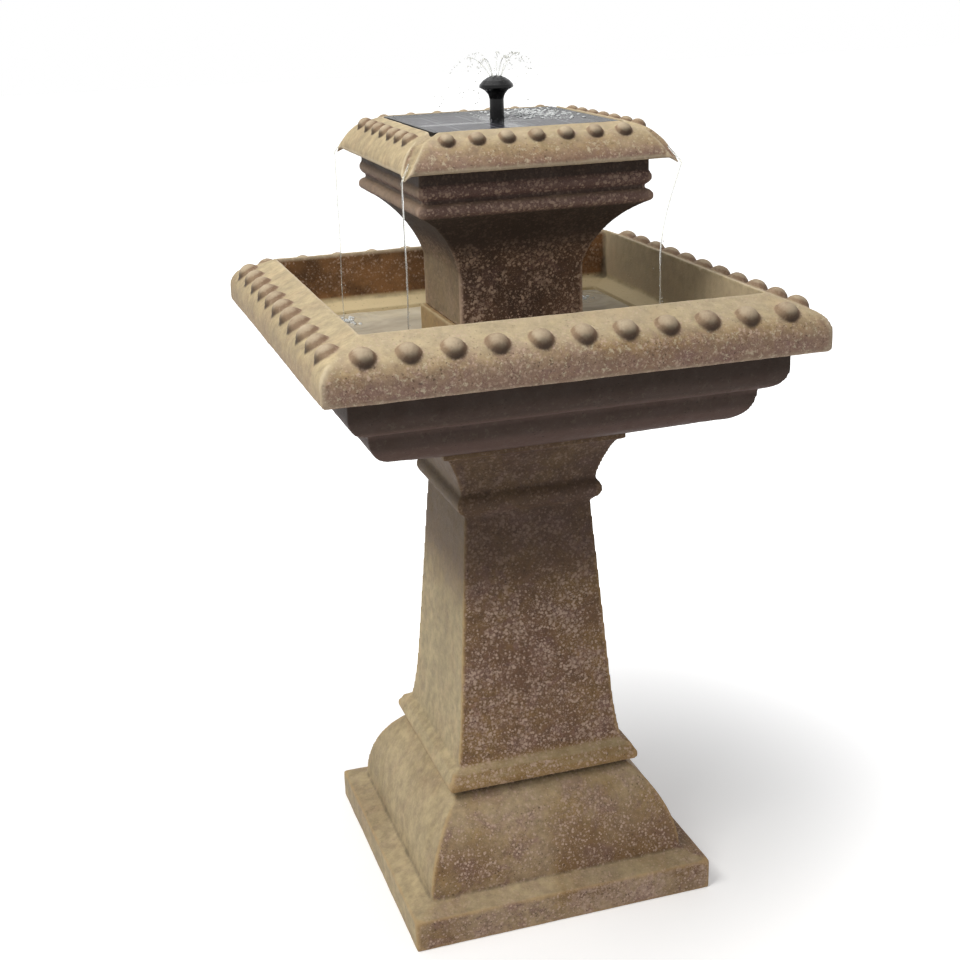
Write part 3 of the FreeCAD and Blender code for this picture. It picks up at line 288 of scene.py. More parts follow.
def add_domes(mesh, centres, radius):
    """Put a round ball at each stud, for the remesh to fuse with the rim."""
    shape = bmesh.new()
    shape.from_mesh(mesh)
    for centre in centres:
        bmesh.ops.create_icosphere(shape, subdivisions=4, radius=radius, matrix=Matrix.Translation(centre))
    shape.to_mesh(mesh)
    shape.free()


def stud_masks(points, normals, centres, radius):
    """What lies on a stud, and the painted shade, with some soiling, on its lower side and in the ring round
    it.
    """
    tree = point_tree(centres)
    stud, grime_and_shade = np.zeros(len(points)), np.zeros(len(points))
    for i, point in enumerate(points):
        spot, _, away = tree.find(point)
        if away > 1.4 * radius:
            continue
        stud[i] = 1.0 - min(1.0, max(0.0, abs(away - 0.98 * radius) / (0.08 * radius) - 0.5))
        axis = 0 if abs(spot.x) > abs(spot.y) else 1
        lean = normals[i][axis] * math.copysign(1, spot[axis])
        # The stud's lower, outward side gets painted shade.
        low_side = min(1.0, max(0.0, 1.1 * (lean - normals[i][2]) + 0.10))
        below = min(1.0, max(0.0, (spot[2] + 0.50 * radius - point[2]) / (0.8 * radius)))
        ring = max(0.0, 1.0 - abs(away - 1.03 * radius) / (0.16 * radius)) * below
        grime_and_shade[i] = max(0.62 * stud[i] * low_side, ring)
    return stud, grime_and_shade


def weathered_casting(node, name, body, stone_name, cell, roughness=1.0, studs=None):
    """A casting with worn edges and uneven faces, in place of the plain node."""
    stone = settings().stone
    obj = add_object(name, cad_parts[node].data.copy())
    if studs is not None:
        add_domes(obj.data, *studs)
    remesh = obj.modifiers.new("cells", "REMESH")
    remesh.mode = "VOXEL"
    remesh.voxel_size = cell
    smooth = obj.modifiers.new("soften", "SMOOTH")
    smooth.iterations = 2
    mesh = settle(obj)
    points, normals, edges = vertex_array(mesh), vertex_array(mesh, "vector"), edge_array(mesh)
    lifted = ((points - spread(points, edges, 8)) * normals).sum(1) / cell
    masks = {"wear": spread(lifted, edges, 4)}
    if studs is not None:
        stud, grime_and_shade = stud_masks(points, normals, *studs)
        masks["stud"] = stud
        masks["grime_and_shade"] = spread(grime_and_shade, edges, 1)
    tree = point_tree(points)
    displace(obj, name + "_wave", 55 * MM, stone.wave * roughness)
    grain = displace(obj, name + "_grain", 11 * MM, stone.grain * roughness)
    grain.noise_depth = 3
    thin = obj.modifiers.new("thin", "DECIMATE")
    thin.ratio = stone.kept
    mesh = settle(obj)
    nearest = [tree.find(point)[1] for point in vertex_array(mesh)]
    for label, values in masks.items():
        store(mesh, label, values[nearest])
    mesh.polygons.foreach_set("use_smooth", [True] * len(mesh.polygons))
    mesh.materials.clear()
    mesh.materials.append(shared_material(stone_name))
    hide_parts(node)
    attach(obj, body)


# Shader node groups and materials

def new_group(name, inputs, outputs):
    group = bpy.data.node_groups.new(name, "ShaderNodeTree")
    for label, kind, value in inputs:
        item = group.interface.new_socket(label, in_out="INPUT", socket_type="NodeSocket" + kind)
        if value is not None:
            item.default_value = value
    for label, kind in outputs:
        group.interface.new_socket(label, in_out="OUTPUT", socket_type="NodeSocket" + kind)
    return group, Tree(group)


class Tree:
    """Short calls for adding and linking shader nodes."""

    def __init__(self, tree):
        self.nodes = tree.nodes
        self.links = tree.links

    def node(self, kind, **values):
        made = self.nodes.new(kind)
        for key, value in values.items():
            setattr(made, key, value)
        return made

    def feed(self, socket, value):
        """Link a socket, or set its value; a colour of three parts gets full cover."""
        if isinstance(value, bpy.types.NodeSocket):
            self.links.new(value, socket)
        elif hasattr(value, "__len__") and len(value) == 3 and len(socket.default_value) == 4:
            socket.default_value = (*value, 1.0)
        else:
            socket.default_value = value

    def set(self, made, **values):
        """Feed a node's inputs by name, with _ for a space."""
        for label, value in values.items():
            self.feed(made.inputs[label.replace("_", " ")], value)

    def maths(self, operation, a, b=0.0, c=0.0, clamp=False):
        made = self.node("ShaderNodeMath", operation=operation, use_clamp=clamp)
        for socket, value in zip(made.inputs, (a, b, c)):
            self.feed(socket, value)
        return made.outputs[0]

    def times(self, a, b, clamp=False):
        return self.maths("MULTIPLY", a, b, clamp=clamp)

    def less(self, a, b):
        return self.maths("SUBTRACT", a, b)

    def most(self, a, b):
        return self.maths("MAXIMUM", a, b)

    def place(self):
        """Where the shaded point is, in metres."""
        return self.node("ShaderNodeTexCoord").outputs["Object"]

    def split(self, vector):
        """The X, Y and Z of a vector."""
        made = self.node("ShaderNodeSeparateXYZ")
        self.feed(made.inputs[0], vector)
        return made.outputs

    def grey(self, value):
        made = self.node("ShaderNodeCombineColor")
        self.set(made, Red=value, Green=value, Blue=value)
        return made.outputs["Color"]

    def noise(self, vector, scale, detail=4.0, roughness=0.55, distortion=0.0):
        made = self.node("ShaderNodeTexNoise")
        self.set(made, Vector=vector, Scale=scale, Detail=detail, Roughness=roughness, Distortion=distortion)
        return made.outputs["Fac"]

    def voronoi(self, vector, scale, output="Distance"):
        made = self.node("ShaderNodeTexVoronoi")
        self.set(made, Vector=vector, Scale=scale)
        return made.outputs[output]

    def ramp(self, value, low, high):
        """0 below low, 1 above high, eased between. A low above high turns it round."""
        made = self.node("ShaderNodeMapRange", interpolation_type="SMOOTHSTEP")
        self.feed(made.inputs["Value"], value)
        flipped = isinstance(low, float) and isinstance(high, float) and low > high
        self.feed(made.inputs["From Min"], high if flipped else low)
        self.feed(made.inputs["From Max"], low if flipped else high)
        made.inputs["To Min"].default_value = 1.0 if flipped else 0.0
        made.inputs["To Max"].default_value = 0.0 if flipped else 1.0
        return made.outputs["Result"]

    def mix(self, share, under, over, blend="MIX"):
        made = self.node("ShaderNodeMix", data_type="RGBA", blend_type=blend, clamp_factor=True)
        self.feed(made.inputs["Factor"], share)
        self.feed(made.inputs[6], under)
        self.feed(made.inputs[7], over)
        return made.outputs[2]

    def group(self, name, **values):
        """Place a shared group, and give its outputs."""
        made = self.node("ShaderNodeGroup", node_tree=shared_group(name))
        self.set(made, **values)
        return made.outputs

    def group_ends(self):
        """The inputs that a group is given and the outputs that it has to fill."""
        return self.node("NodeGroupInput").outputs, self.node("NodeGroupOutput").inputs

    def mark(self, name):
        """A mask that was stored on the mesh."""
        return self.node("ShaderNodeAttribute", attribute_name=name).outputs["Fac"]


def stone_mottle_group():
    """Broad stains over a base colour."""
    group, t = new_group(
        "Stone Mottle",
        [("Base", "Color", None), ("Stain", "Color", None), ("Patch", "Color", None),
         ("Stain Amount", "Float", 0.5), ("Patch Amount", "Float", 0.5), ("Scale", "Float", 9.0)],
        [("Color", "Color")],
    )
    ins, outs = t.group_ends()
    place = t.place()
    broad = t.ramp(t.noise(place, ins["Scale"], 5.0, 0.62, 0.4), 0.40, 0.66)
    stained = t.mix(t.times(broad, ins["Stain Amount"]), ins["Base"], ins["Stain"])
    finer = t.ramp(t.noise(place, t.times(ins["Scale"], 3.7), 6.0, 0.68, 0.8), 0.47, 0.66)
    patched = t.mix(t.times(finer, ins["Patch Amount"]), stained, ins["Patch"])
    tone = t.ramp(t.noise(place, t.times(ins["Scale"], 14.0), 5.0, 0.7), 0.25, 0.75)
    shade = t.maths("MULTIPLY_ADD", tone, 0.62, 0.68)
    t.feed(outs["Color"], t.mix(1.0, patched, t.grey(shade), "MULTIPLY"))
    return group


def stone_fleck_group():
    """Small pale chips and dark pits, crowded in some places and thin in others."""
    group, t = new_group(
        "Stone Flecks", [("Scale", "Float", 235.0), ("Amount", "Float", 0.5)],
        [("Mask", "Float"), ("Pits", "Float")],
    )
    ins, outs = t.group_ends()
    place = t.place()
    bend = t.node("ShaderNodeTexNoise")
    t.feed(bend.inputs["Vector"], place)
    bend.inputs["Scale"].default_value = 330.0
    shift = t.node("ShaderNodeVectorMath", operation="MULTIPLY_ADD")
    t.feed(shift.inputs[0], bend.outputs["Color"])
    shift.inputs[1].default_value = (0.0032, 0.0032, 0.0032)
    t.feed(shift.inputs[2], place)
    crowd = t.ramp(t.noise(place, 34.0, 4.0, 0.70), 0.30, 0.66)
    reach = t.times(t.maths("MULTIPLY_ADD", crowd, 0.26, 0.30), ins["Amount"])
    coarse = t.ramp(t.less(reach, t.voronoi(shift.outputs[0], ins["Scale"])), -0.02, 0.12)
    fine = t.voronoi(shift.outputs[0], t.times(ins["Scale"], 2.1))
    fine = t.ramp(t.less(reach, fine), -0.02, 0.14)
    tone = t.ramp(t.noise(place, 150.0, 2.0), 0.20, 0.60)
    both = t.most(t.times(coarse, tone), t.times(fine, 0.42))
    t.feed(outs["Mask"], both)
    holes = t.voronoi(shift.outputs[0], t.times(ins["Scale"], 0.83))
    sparse = t.times(t.noise(place, 31.0, 3.0), 0.40)
    t.feed(outs["Pits"], t.ramp(t.less(sparse, holes), 0.0, 0.12))
    return group


def stone_wear_group():
    """Masks for rubbed edges, crevices, studs, the painted shade on the studs' lower sides, and the sides
    that face the key lamp, for painted light.
    """
    group, t = new_group(
        "Stone Wear", [("Lamp Side", "Vector", (-0.80, -0.10, 0.60))],
        [("Edge", "Float"), ("Crevice", "Float"), ("Lamp Side Paint", "Float"), ("Stud", "Float"), ("Grime And Shade", "Float")],
    )
    ins, outs = t.group_ends()
    place = t.place()
    broken = t.times(t.less(t.noise(place, 46.0, 5.0, 0.7), 0.5), 0.5)
    wear = t.maths("ADD", t.mark("wear"), broken)
    t.feed(outs["Edge"], t.ramp(wear, 0.18, 0.48))
    # Crevices are hollows, painted darker later as shade.
    t.feed(outs["Crevice"], t.ramp(wear, -0.16, -0.55))
    # Faces turned toward the key lamp get painted light, a paler colour in place of the lamp's own light.
    toward = t.node("ShaderNodeVectorMath", operation="DOT_PRODUCT")
    t.feed(toward.inputs[0], t.node("ShaderNodeNewGeometry").outputs["Normal"])
    t.feed(toward.inputs[1], ins["Lamp Side"])
    t.feed(outs["Lamp Side Paint"], t.ramp(t.maths("ADD", toward.outputs["Value"], broken), 0.22, 0.82))
    t.feed(outs["Stud"], t.mark("stud"))
    grime_and_shade = t.mark("grime_and_shade")
    t.feed(outs["Grime And Shade"], t.ramp(t.maths("ADD", grime_and_shade, t.times(broken, 0.5)), 0.08, 0.85))
    return group


def height_mask_group():
    """Rises from 0 at the first level to 1 at the second; a first level above the second turns it round."""
    group, t = new_group("Height Mask", [("From", "Float", 0.0), ("To", "Float", 1.0)], [("Mask", "Float")])
    ins, outs = t.group_ends()
    parts = t.split(t.place())
    t.feed(outs["Mask"], t.ramp(parts["Z"], ins["From"], ins["To"]))
    return group


def stone_relief_group():
    """Height of the sanded, pitted skin."""
    group, t = new_group("Stone Relief", [("Pits", "Float", 0.0), ("Flecks", "Float", 0.0)],
                         [("Height", "Float")])
    ins, outs = t.group_ends()
    place = t.place()
    sand = t.noise(place, 900.0, 3.0, 0.7)
    lumps = t.noise(place, 190.0, 4.0, 0.6)
    height = t.maths("ADD", t.times(sand, 0.35), t.times(lumps, 0.9))
    height = t.less(height, t.times(ins["Pits"], 0.9))
    t.feed(outs["Height"], t.maths("ADD", height, t.times(ins["Flecks"], 0.25)))
    return group


def scuff_group():
    """Faint uneven gloss for plastic, rubber and metal."""
    group, t = new_group(
        "Handling Marks",
        [("Gloss Low", "Float", 0.3), ("Gloss High", "Float", 0.5), ("Scale", "Float", 60.0)],
        [("Roughness", "Float"), ("Height", "Float"), ("Haze", "Float")],
    )
    ins, outs = t.group_ends()
    place = t.place()
    smear = t.noise(place, ins["Scale"], 5.0, 0.6)
    gloss = t.node("ShaderNodeMapRange")
    t.set(gloss, Value=smear, To_Min=ins["Gloss Low"], To_Max=ins["Gloss High"])
    t.feed(outs["Roughness"], gloss.outputs["Result"])
    t.feed(outs["Height"], t.noise(place, t.times(ins["Scale"], 30.0), 2.0))
    t.feed(outs["Haze"], t.ramp(t.noise(place, t.times(ins["Scale"], 0.6), 3.0), 0.45, 0.75))
    return group


GROUP_MAKERS = {
    "Stone Mottle": stone_mottle_group,
    "Stone Flecks": stone_fleck_group,
    "Stone Wear": stone_wear_group,
    "Height Mask": height_mask_group,
    "Stone Relief": stone_relief_group,
    "Handling Marks": scuff_group,
}


def shared_group(name):
    return bpy.data.node_groups.get(name) or GROUP_MAKERS[name]()


def new_material(name):
    """A material, its tree and the surface shader in it."""
    material = bpy.data.materials.new(name)
    material.use_nodes = True
    return material, Tree(material.node_tree), material.node_tree.nodes["Principled BSDF"]


def scaled(colour, share):
    return tuple(share * part for part in colour)


def bump(t, shader, height, strength, distance):
    made = t.node("ShaderNodeBump")
    t.set(made, Strength=strength, Distance=distance, Height=height)
    t.feed(shader.inputs["Normal"], made.outputs["Normal"])


def height_mask(t, first, second):
    return t.group("Height Mask", From=first, To=second)["Mask"]


def band(t, level, first, second):
    """A height mask whose ends are given in millimetres from a level."""
    return height_mask(t, level + first * MM, level + second * MM)


def inside_mask(t, half, level):
    """Mask of what lies within a square of that half width and above a level."""
    parts = t.split(t.place())
    wide = t.most(t.maths("ABSOLUTE", parts["X"]), t.maths("ABSOLUTE", parts["Y"]))
    return t.times(t.ramp(wide, half + 1.5 * MM, half - 0.5 * MM), t.ramp(parts["Z"], level, level + 1 * MM))


def stone_material(name, base, stain, patch, amounts, flecks, lamp_side_paint, edge, extra=None):
    """Cast stone: mottled base, painted light on the sides that face the key lamp, pale chips, worn edges,
    and painted shade in creases and under the studs.
    """
    stone = settings().stone
    material, t, shader = new_material(name)
    mottle = t.group("Stone Mottle", Base=base, Stain=stain, Patch=patch, Stain_Amount=amounts[0],
                     Patch_Amount=amounts[1])
    colour, thin = mottle["Color"], None
    if extra:
        colour, thin = extra(t, colour)
    wear = t.group("Stone Wear")
    colour = t.mix(t.times(wear["Stud"], 0.85), colour, stone.brown)
    # Painted light: the sides that face the key lamp take the paler khaki, less so on the studs.
    painted_lamp_side = t.times(wear["Lamp Side Paint"], lamp_side_paint)
    if thin:
        painted_lamp_side = t.times(painted_lamp_side, thin)
    painted_lamp_side = t.times(painted_lamp_side, t.less(1.0, t.times(wear["Stud"], 0.75)))
    dull = scaled(stone.khaki, 0.66)
    lit_colour = t.group("Stone Mottle", Base=stone.khaki, Stain=dull, Patch=stone.beige,
                     Stain_Amount=0.60, Patch_Amount=0.45, Scale=5.0)
    colour = t.mix(painted_lamp_side, colour, lit_colour["Color"])
    chips = t.group("Stone Flecks", Amount=flecks)
    open_face = t.less(1.0, t.times(t.most(wear["Lamp Side Paint"], wear["Stud"]), 0.80))
    shown = t.times(t.times(chips["Mask"], open_face), thin or 1.0)
    colour = t.mix(t.times(shown, 0.92), colour, stone.fleck)
    colour = t.mix(t.times(t.times(chips["Pits"], open_face), 0.55), colour, stone.dirt_and_shade)
    colour = t.mix(t.times(wear["Edge"], t.times(thin or 1.0, 0.55)), colour, tuple(edge))
    # Painted shade in the creases and hollows.
    colour = t.mix(t.times(wear["Crevice"], 0.72), colour, stone.dirt_and_shade)
    # Painted shade, with some soiling, on the studs' lower sides and in the rings under them.
    colour = t.mix(t.times(wear["Grime And Shade"], 0.90), colour, stone.dirt_and_shade)
    t.feed(shader.inputs["Base Color"], colour)
    rough = t.maths("MULTIPLY_ADD", t.noise(t.place(), 70.0), 0.3, 0.58)
    t.feed(shader.inputs["Roughness"], rough)
    t.set(shader, Specular_IOR_Level=0.3)
    relief = t.group("Stone Relief", Pits=chips["Pits"], Flecks=chips["Mask"])
    bump(t, shader, relief["Height"], 0.45, 0.9 * MM)
    return material


def plinth_material():
    stone = settings().stone
    low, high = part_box("base_plinth")

    def stained(t, colour):
        place = t.place()
        ruddy = t.times(t.ramp(t.noise(place, 8.0, 4.0), 0.42, 0.62), band(t, high.z, -25, -70))
        colour = t.mix(t.times(ruddy, 0.60), colour, stone.brown)
        slab = band(t, low.z, 38, 34)
        chalky = t.times(slab, t.ramp(t.noise(place, 6.0), 0.44, 0.60))
        chalky = t.times(chalky, t.ramp(t.noise(place, 190.0, 4.0, 0.8), 0.42, 0.58))
        colour = t.mix(t.times(chalky, 0.85), colour, stone.fleck)
        # Painted shadow of the gap under the shaft's foot: a dark band at the plinth's top.
        gap_shadow = band(t, high.z, -9, -6)
        return t.mix(t.times(gap_shadow, 0.9), colour, stone.dirt_and_shade), None

    return stone_material("Plinth Stone", stone.beige, stone.ochre, stone.mauve, (0.95, 0.80),
                          0.80, 0.78, stone.gold, stained)


def shaft_material():
    stone = settings().stone
    low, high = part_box("pedestal_shaft")
    tall = high.z - low.z

    def darker_above(t, colour):
        foot = band(t, low.z, 34, 22)
        colour = t.mix(t.times(foot, 0.75), colour, stone.ochre)
        # Darker towards the top: painted shadow of the basin's overhang, with a darker wash.
        above = height_mask(t, low.z + 0.40 * tall, low.z + 0.72 * tall)
        colour = t.mix(t.times(above, 0.72), colour, stone.umber)
        # Less painted lamp light and fewer flecks in the middle of the shaft, where the basin's shadow is
        # painted.
        plain = height_mask(t, low.z + 0.46 * tall, low.z + 0.66 * tall)
        return colour, t.less(1.0, t.times(plain, 0.80))

    return stone_material("Shaft Stone", stone.brown, stone.ochre, stone.mauve, (0.70, 0.60),
                          0.95, 0.95, stone.gold, darker_above)


def gritty(t, colour, amount):
    """Dark and pale grit, and mauve blotches, over the rims' wash."""
    stone = settings().stone
    place = t.place()
    blotches = t.ramp(t.noise(place, 44.0, 5.0, 0.75), 0.50, 0.62)
    colour = t.mix(t.times(blotches, 0.8 * amount), colour, stone.mauve)
    dark = t.ramp(t.noise(place, 230.0, 4.0, 0.75), 0.53, 0.66)
    colour = t.mix(t.times(dark, amount), colour, stone.brown)
    pale = t.ramp(t.noise(place, 170.0, 4.0, 0.75), 0.54, 0.66)
    return t.mix(t.times(pale, 1.3 * amount), colour, stone.pale)


def basin_material():
    stone = settings().stone
    rim = RIM_HIGH.z

    def stained(t, colour):
        blush = t.times(band(t, rim, -24, -46), 0.60)
        colour = gritty(t, t.mix(blush, colour, stone.mauve), 0.60)
        # Below the lip the basin is painted umber: painted shade on the mouldings under the rim.
        lip = band(t, rim, -66, -56)
        colour = t.mix(t.times(t.less(1.0, lip), 0.93), colour, stone.umber)
        # Mauve bands on the mouldings' lower curves: painted light bounced up from the floor.
        bellies = t.maths("ADD", band(t, rim, -92, -100), t.times(band(t, rim, -103, -110), -1.0))
        bellies = t.maths("ADD", bellies, band(t, rim, -118, -128), clamp=True)
        colour = t.mix(t.times(bellies, 0.20), colour, stone.mauve)
        shade = t.less(band(t, rim, -88, -74), lip)
        colour = t.mix(t.times(shade, 0.55), colour, stone.dirt_and_shade)
        # Paler towards the rim's top: painted light on the upward faces, with dust.
        colour = t.mix(t.times(band(t, rim, -26, -8), 0.55), colour, stone.pale)
        walled = t.times(inside_mask(t, 215 * MM, rim - 78 * MM), band(t, rim, -2, -7))
        inside = t.most(walled, inside_mask(t, 191.5 * MM, rim - 124 * MM))
        streaks = t.ramp(t.noise(t.place(), 19.0, 5.0, 0.7), 0.35, 0.65)
        walls = t.mix(streaks, scaled(stone.rust, 0.45), scaled(stone.rust, 1.15))
        # Painted light: the inner wall that faces the key lamp is painted pale, though the upper basin shades
        # it.
        facing = t.split(t.node("ShaderNodeTexCoord").outputs["Normal"])
        painted_lamp_side = t.times(facing["X"], -0.70, clamp=True)
        colour = t.mix(inside, colour, t.mix(painted_lamp_side, walls, stone.pale))
        ledge = t.times(inside, band(t, rim, -52, -58))
        colour = t.mix(t.times(ledge, 0.92), colour, scaled(stone.khaki, 1.35))
        # Share of painted lamp light, flecks and rubbed edges: little below the lip, less inside, and less
        # low on the rim's face, which is painted as shaded.
        open_share = t.less(t.times(lip, 0.95), t.times(inside, 0.42))
        return colour, t.less(open_share, t.times(blush, 0.42))

    return stone_material("Basin Stone", stone.beige, stone.ochre, stone.mauve, (0.65, 0.60),
                          0.75, 0.85, stone.pale, stained)


def curb_material():
    stone = settings().stone
    return stone_material("Curb Stone", stone.ochre, stone.rust, stone.brown, (0.70, 0.60),
                          0.30, 0.30, stone.khaki)


def column_material():
    stone = settings().stone
    low, high = (corner.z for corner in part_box("upper_column"))

    def dark_wash_and_shade(t, colour):
        # Umber over all but the foot: painted shade under the upper basin, with a darker wash.
        foot = band(t, low, 130, 85)
        wash = t.less(0.93, t.times(foot, 0.62))
        colour = t.mix(wash, colour, stone.umber)
        # Darker still above 95 mm: more painted shade under the upper basin.
        flare = t.times(band(t, low, 95, 130), 0.55)
        colour = t.mix(flare, colour, stone.dirt_and_shade)
        # Mauve on the beads: a painted highlight line, with pinkish stain.
        beads = t.times(band(t, high, -48, -44), band(t, high, -12, -16))
        colour = t.mix(t.times(beads, 0.45), colour, stone.mauve)
        return colour, t.most(t.most(t.times(foot, 0.9), 0.08), t.times(beads, 0.60))

    return stone_material("Column Stone", stone.brown, stone.umber, stone.mauve, (0.60, 0.50),
                          0.95, 0.45, stone.fleck, dark_wash_and_shade)


def upper_basin_material():
    stone = settings().stone
    high = UPPER_HIGH.z

    def stained(t, colour):
        blush = t.times(band(t, high, -14, -30), 0.55)
        colour = gritty(t, t.mix(blush, colour, stone.mauve), 0.55)
        # Paler towards the top: painted light on the upward faces, with dust.
        top = t.times(band(t, high, -16, -4), 0.50)
        return t.mix(top, colour, stone.pale), None

    return stone_material("Upper Basin Stone", stone.beige, stone.ochre, stone.mauve, (0.75, 0.55),
                          0.60, 0.80, stone.pale, stained)


def moulded_material(name, colour, gloss, haze, relief=0.25, metallic=0.0, scale=60.0, specular=0.5):
    """Plastic, rubber or metal with uneven gloss and a faint haze."""
    material, t, shader = new_material(name)
    marks = t.group("Handling Marks", Gloss_Low=gloss[0], Gloss_High=gloss[1], Scale=scale)
    pale = tuple(0.5 * (part + haze) for part in colour)
    t.set(shader, Base_Color=t.mix(t.times(marks["Haze"], 0.5), tuple(colour), pale),
          Roughness=marks["Roughness"])
    t.set(shader, Metallic=metallic, Specular_IOR_Level=specular)
    bump(t, shader, marks["Height"], relief, 0.15 * MM)
    return material


def wafer_material():
    """Dark cells crossed by fine silver fingers and two busbars each."""
    fittings = settings().fittings
    material, t, shader = new_material("Solar Wafer")
    parts = t.split(t.place())
    fingers = t.ramp(t.maths("PINGPONG", parts["Y"], 1.4 * MM), 1.15 * MM, 1.30 * MM)
    busbar = t.ramp(t.maths("PINGPONG", parts["X"], 20.5 * MM), 19.4 * MM, 19.9 * MM)
    silver = t.most(t.times(fingers, 0.35), busbar)
    grain = t.voronoi(t.place(), 140.0, output="Color")
    tint = t.mix(0.16, fittings.wafer, grain, "SOFT_LIGHT")
    t.feed(shader.inputs["Base Color"], t.mix(silver, tint, (0.45, 0.46, 0.50)))
    t.feed(shader.inputs["Metallic"], t.times(silver, 0.8))
    t.set(shader, Roughness=0.60, Specular_IOR_Level=0.2)
    bump(t, shader, silver, 0.2, 0.05 * MM)
    return material


def pane_material():
    """Dusty glass over the cells."""
    material, t, shader = new_material("Panel Glass")
    marks = t.group("Handling Marks", Gloss_Low=0.03, Gloss_High=0.16, Scale=38.0)
    t.feed(shader.inputs["Roughness"], marks["Roughness"])
    t.set(shader, Base_Color=(0.93, 0.95, 0.97, 1.0), Transmission_Weight=1.0, IOR=1.45, Alpha=0.44)
    bump(t, shader, marks["Height"], 0.03, 0.05 * MM)
    return material


def sponge_material():
    fittings = settings().fittings
    material, t, shader = new_material("Filter Sponge")
    place = t.place()
    cells = t.voronoi(place, 420.0)
    dark = scaled(fittings.foam, 0.35)
    t.set(shader, Base_Color=t.mix(t.ramp(cells, 0.25, 0.65), dark, fittings.foam),
          Roughness=t.ramp(t.noise(place, 90.0), -0.6, 0.8))
    bump(t, shader, cells, 0.9, 0.8 * MM)
    return material


def wound_material():
    """Copper wire laid in turns."""
    fittings = settings().fittings
    material, t, shader = new_material("Coil Copper")
    parts = t.split(t.place())
    wires = t.ramp(t.maths("PINGPONG", parts["X"], 0.28 * MM), 0.0, 0.28 * MM)
    dark = scaled(fittings.copper, 0.30)
    t.feed(shader.inputs["Base Color"], t.mix(wires, dark, fittings.copper))
    t.set(shader, Metallic=1.0)
    marks = t.group("Handling Marks", Gloss_Low=0.25, Gloss_High=0.42, Scale=90.0)
    t.feed(shader.inputs["Roughness"], marks["Roughness"])
    bump(t, shader, wires, 0.8, 0.25 * MM)
    return material


def water_material():
    """Shallow water over the stone; its milky pale colour is painted reflection of the pale surroundings,
    with some silt and air.
    """
    water = settings().water
    material, t, shader = new_material("Water")
    place = t.place()
    patches = t.ramp(t.noise(place, 16.0, 4.0, 0.6, 0.6), 0.30, 0.75)
    deep = scaled(water.murk_and_reflection, 0.70)
    t.set(shader, Base_Color=t.mix(patches, deep, water.murk_and_reflection),
          Roughness=t.ramp(t.noise(place, 40.0), -0.05, 6.0))
    t.set(shader, IOR=1.75, Alpha=0.72)
    bump(t, shader, t.noise(place, 90.0, 3.0, 0.6, 0.5), 0.20, 1.0 * MM)
    return material


def falling_material():
    """Clear water in threads and drops."""
    water = settings().water
    material, t, shader = new_material("Falling Water")
    place = t.place()
    streaks = t.ramp(t.noise(place, 260.0, 3.0), 0.35, 0.70)
    t.set(shader, Base_Color=t.mix(streaks, water.tint, water.foam), Roughness=t.times(streaks, 0.12))
    t.set(shader, IOR=1.333, Transmission_Weight=0.80)
    bump(t, shader, t.noise(place, 500.0, 2.0), 0.3, 0.3 * MM)
    return material


def froth_material():
    water = settings().water
    material, t, shader = new_material("Froth")
    place = t.place()
    bubbles = t.voronoi(place, 520.0)
    grey = scaled(water.foam, 0.62)
    t.set(shader, Base_Color=t.mix(t.ramp(bubbles, 0.1, 0.6), grey, water.foam),
          Roughness=t.ramp(bubbles, -0.5, 1.5))
    t.set(shader, Transmission_Weight=0.35, IOR=1.2)
    bump(t, shader, bubbles, 0.7, 0.8 * MM)
    return material


def floor_material():
    """Pale floor that takes shadows near the fountain and runs out to plain white."""
    stage = settings().stage
    material, t, shader = new_material("Floor")
    place = t.place()
    off = scaled(stage.floor, 0.985)
    away = t.node("ShaderNodeVectorMath", operation="LENGTH")
    t.feed(away.inputs[0], place)
    white = t.ramp(away.outputs["Value"], stage.near, stage.far)
    # The floor glows for the camera and reflections: a little near the fountain, which paints its shadow
    # lighter, and fully white far off.
    lift = t.times(seen_rays(t), t.maths("MULTIPLY_ADD", white, 0.74, 0.26))
    t.feed(shader.inputs["Base Color"], t.mix(t.noise(place, 5.0, 3.0), off, stage.floor))
    t.feed(shader.inputs["Emission Color"], t.grey(lift))
    t.set(shader, Emission_Strength=1.0, Roughness=0.9, Specular_IOR_Level=0.1)
    return material


MATERIAL_MAKERS = {
    "Plinth Stone": plinth_material,
    "Shaft Stone": shaft_material,
    "Basin Stone": basin_material,
    "Curb Stone": curb_material,
    "Column Stone": column_material,
    "Upper Basin Stone": upper_basin_material,
    "Solar Wafer": wafer_material,
    "Panel Glass": pane_material,
    "Filter Sponge": sponge_material,
    "Coil Copper": wound_material,
    "Water": water_material,
    "Falling Water": falling_material,
    "Froth": froth_material,
    "Floor": floor_material,
}


def shared_material(name):
    return bpy.data.materials.get(name) or MATERIAL_MAKERS[name]()


def moulded(name, *look):
    """The named plastic, rubber, metal or ceramic, made once: colour, gloss, haze, relief and so on."""
    return bpy.data.materials.get(name) or moulded_material(name, *look)


def black_plastic():
    return moulded("Black Plastic", settings().fittings.black, (0.28, 0.50), 0.10)


def nozzle_plastic():
    dark = scaled(settings().fittings.black, 0.5)
    return moulded("Nozzle Plastic", dark, (0.14, 0.28), 0.02, 0.08, 0.0, 60.0, 0.25)


def pump_plastic():
    return moulded("Pump Plastic", settings().fittings.black, (0.38, 0.62), 0.08, 0.4)


def zinc():
    return moulded("Zinc Plate", settings().fittings.zinc, (0.22, 0.48), 0.35, 0.3, 1.0, 80.0)


def soft_rubber():
    return moulded("Rubber", settings().fittings.rubber, (0.55, 0.80), 0.12, 0.5)


def ceramic():
    return moulded("Ceramic", (0.70, 0.68, 0.62), (0.18, 0.32), 0.80)


def rotor_plastic():
    return moulded("Rotor Plastic", (0.10, 0.10, 0.11), (0.30, 0.50), 0.3)


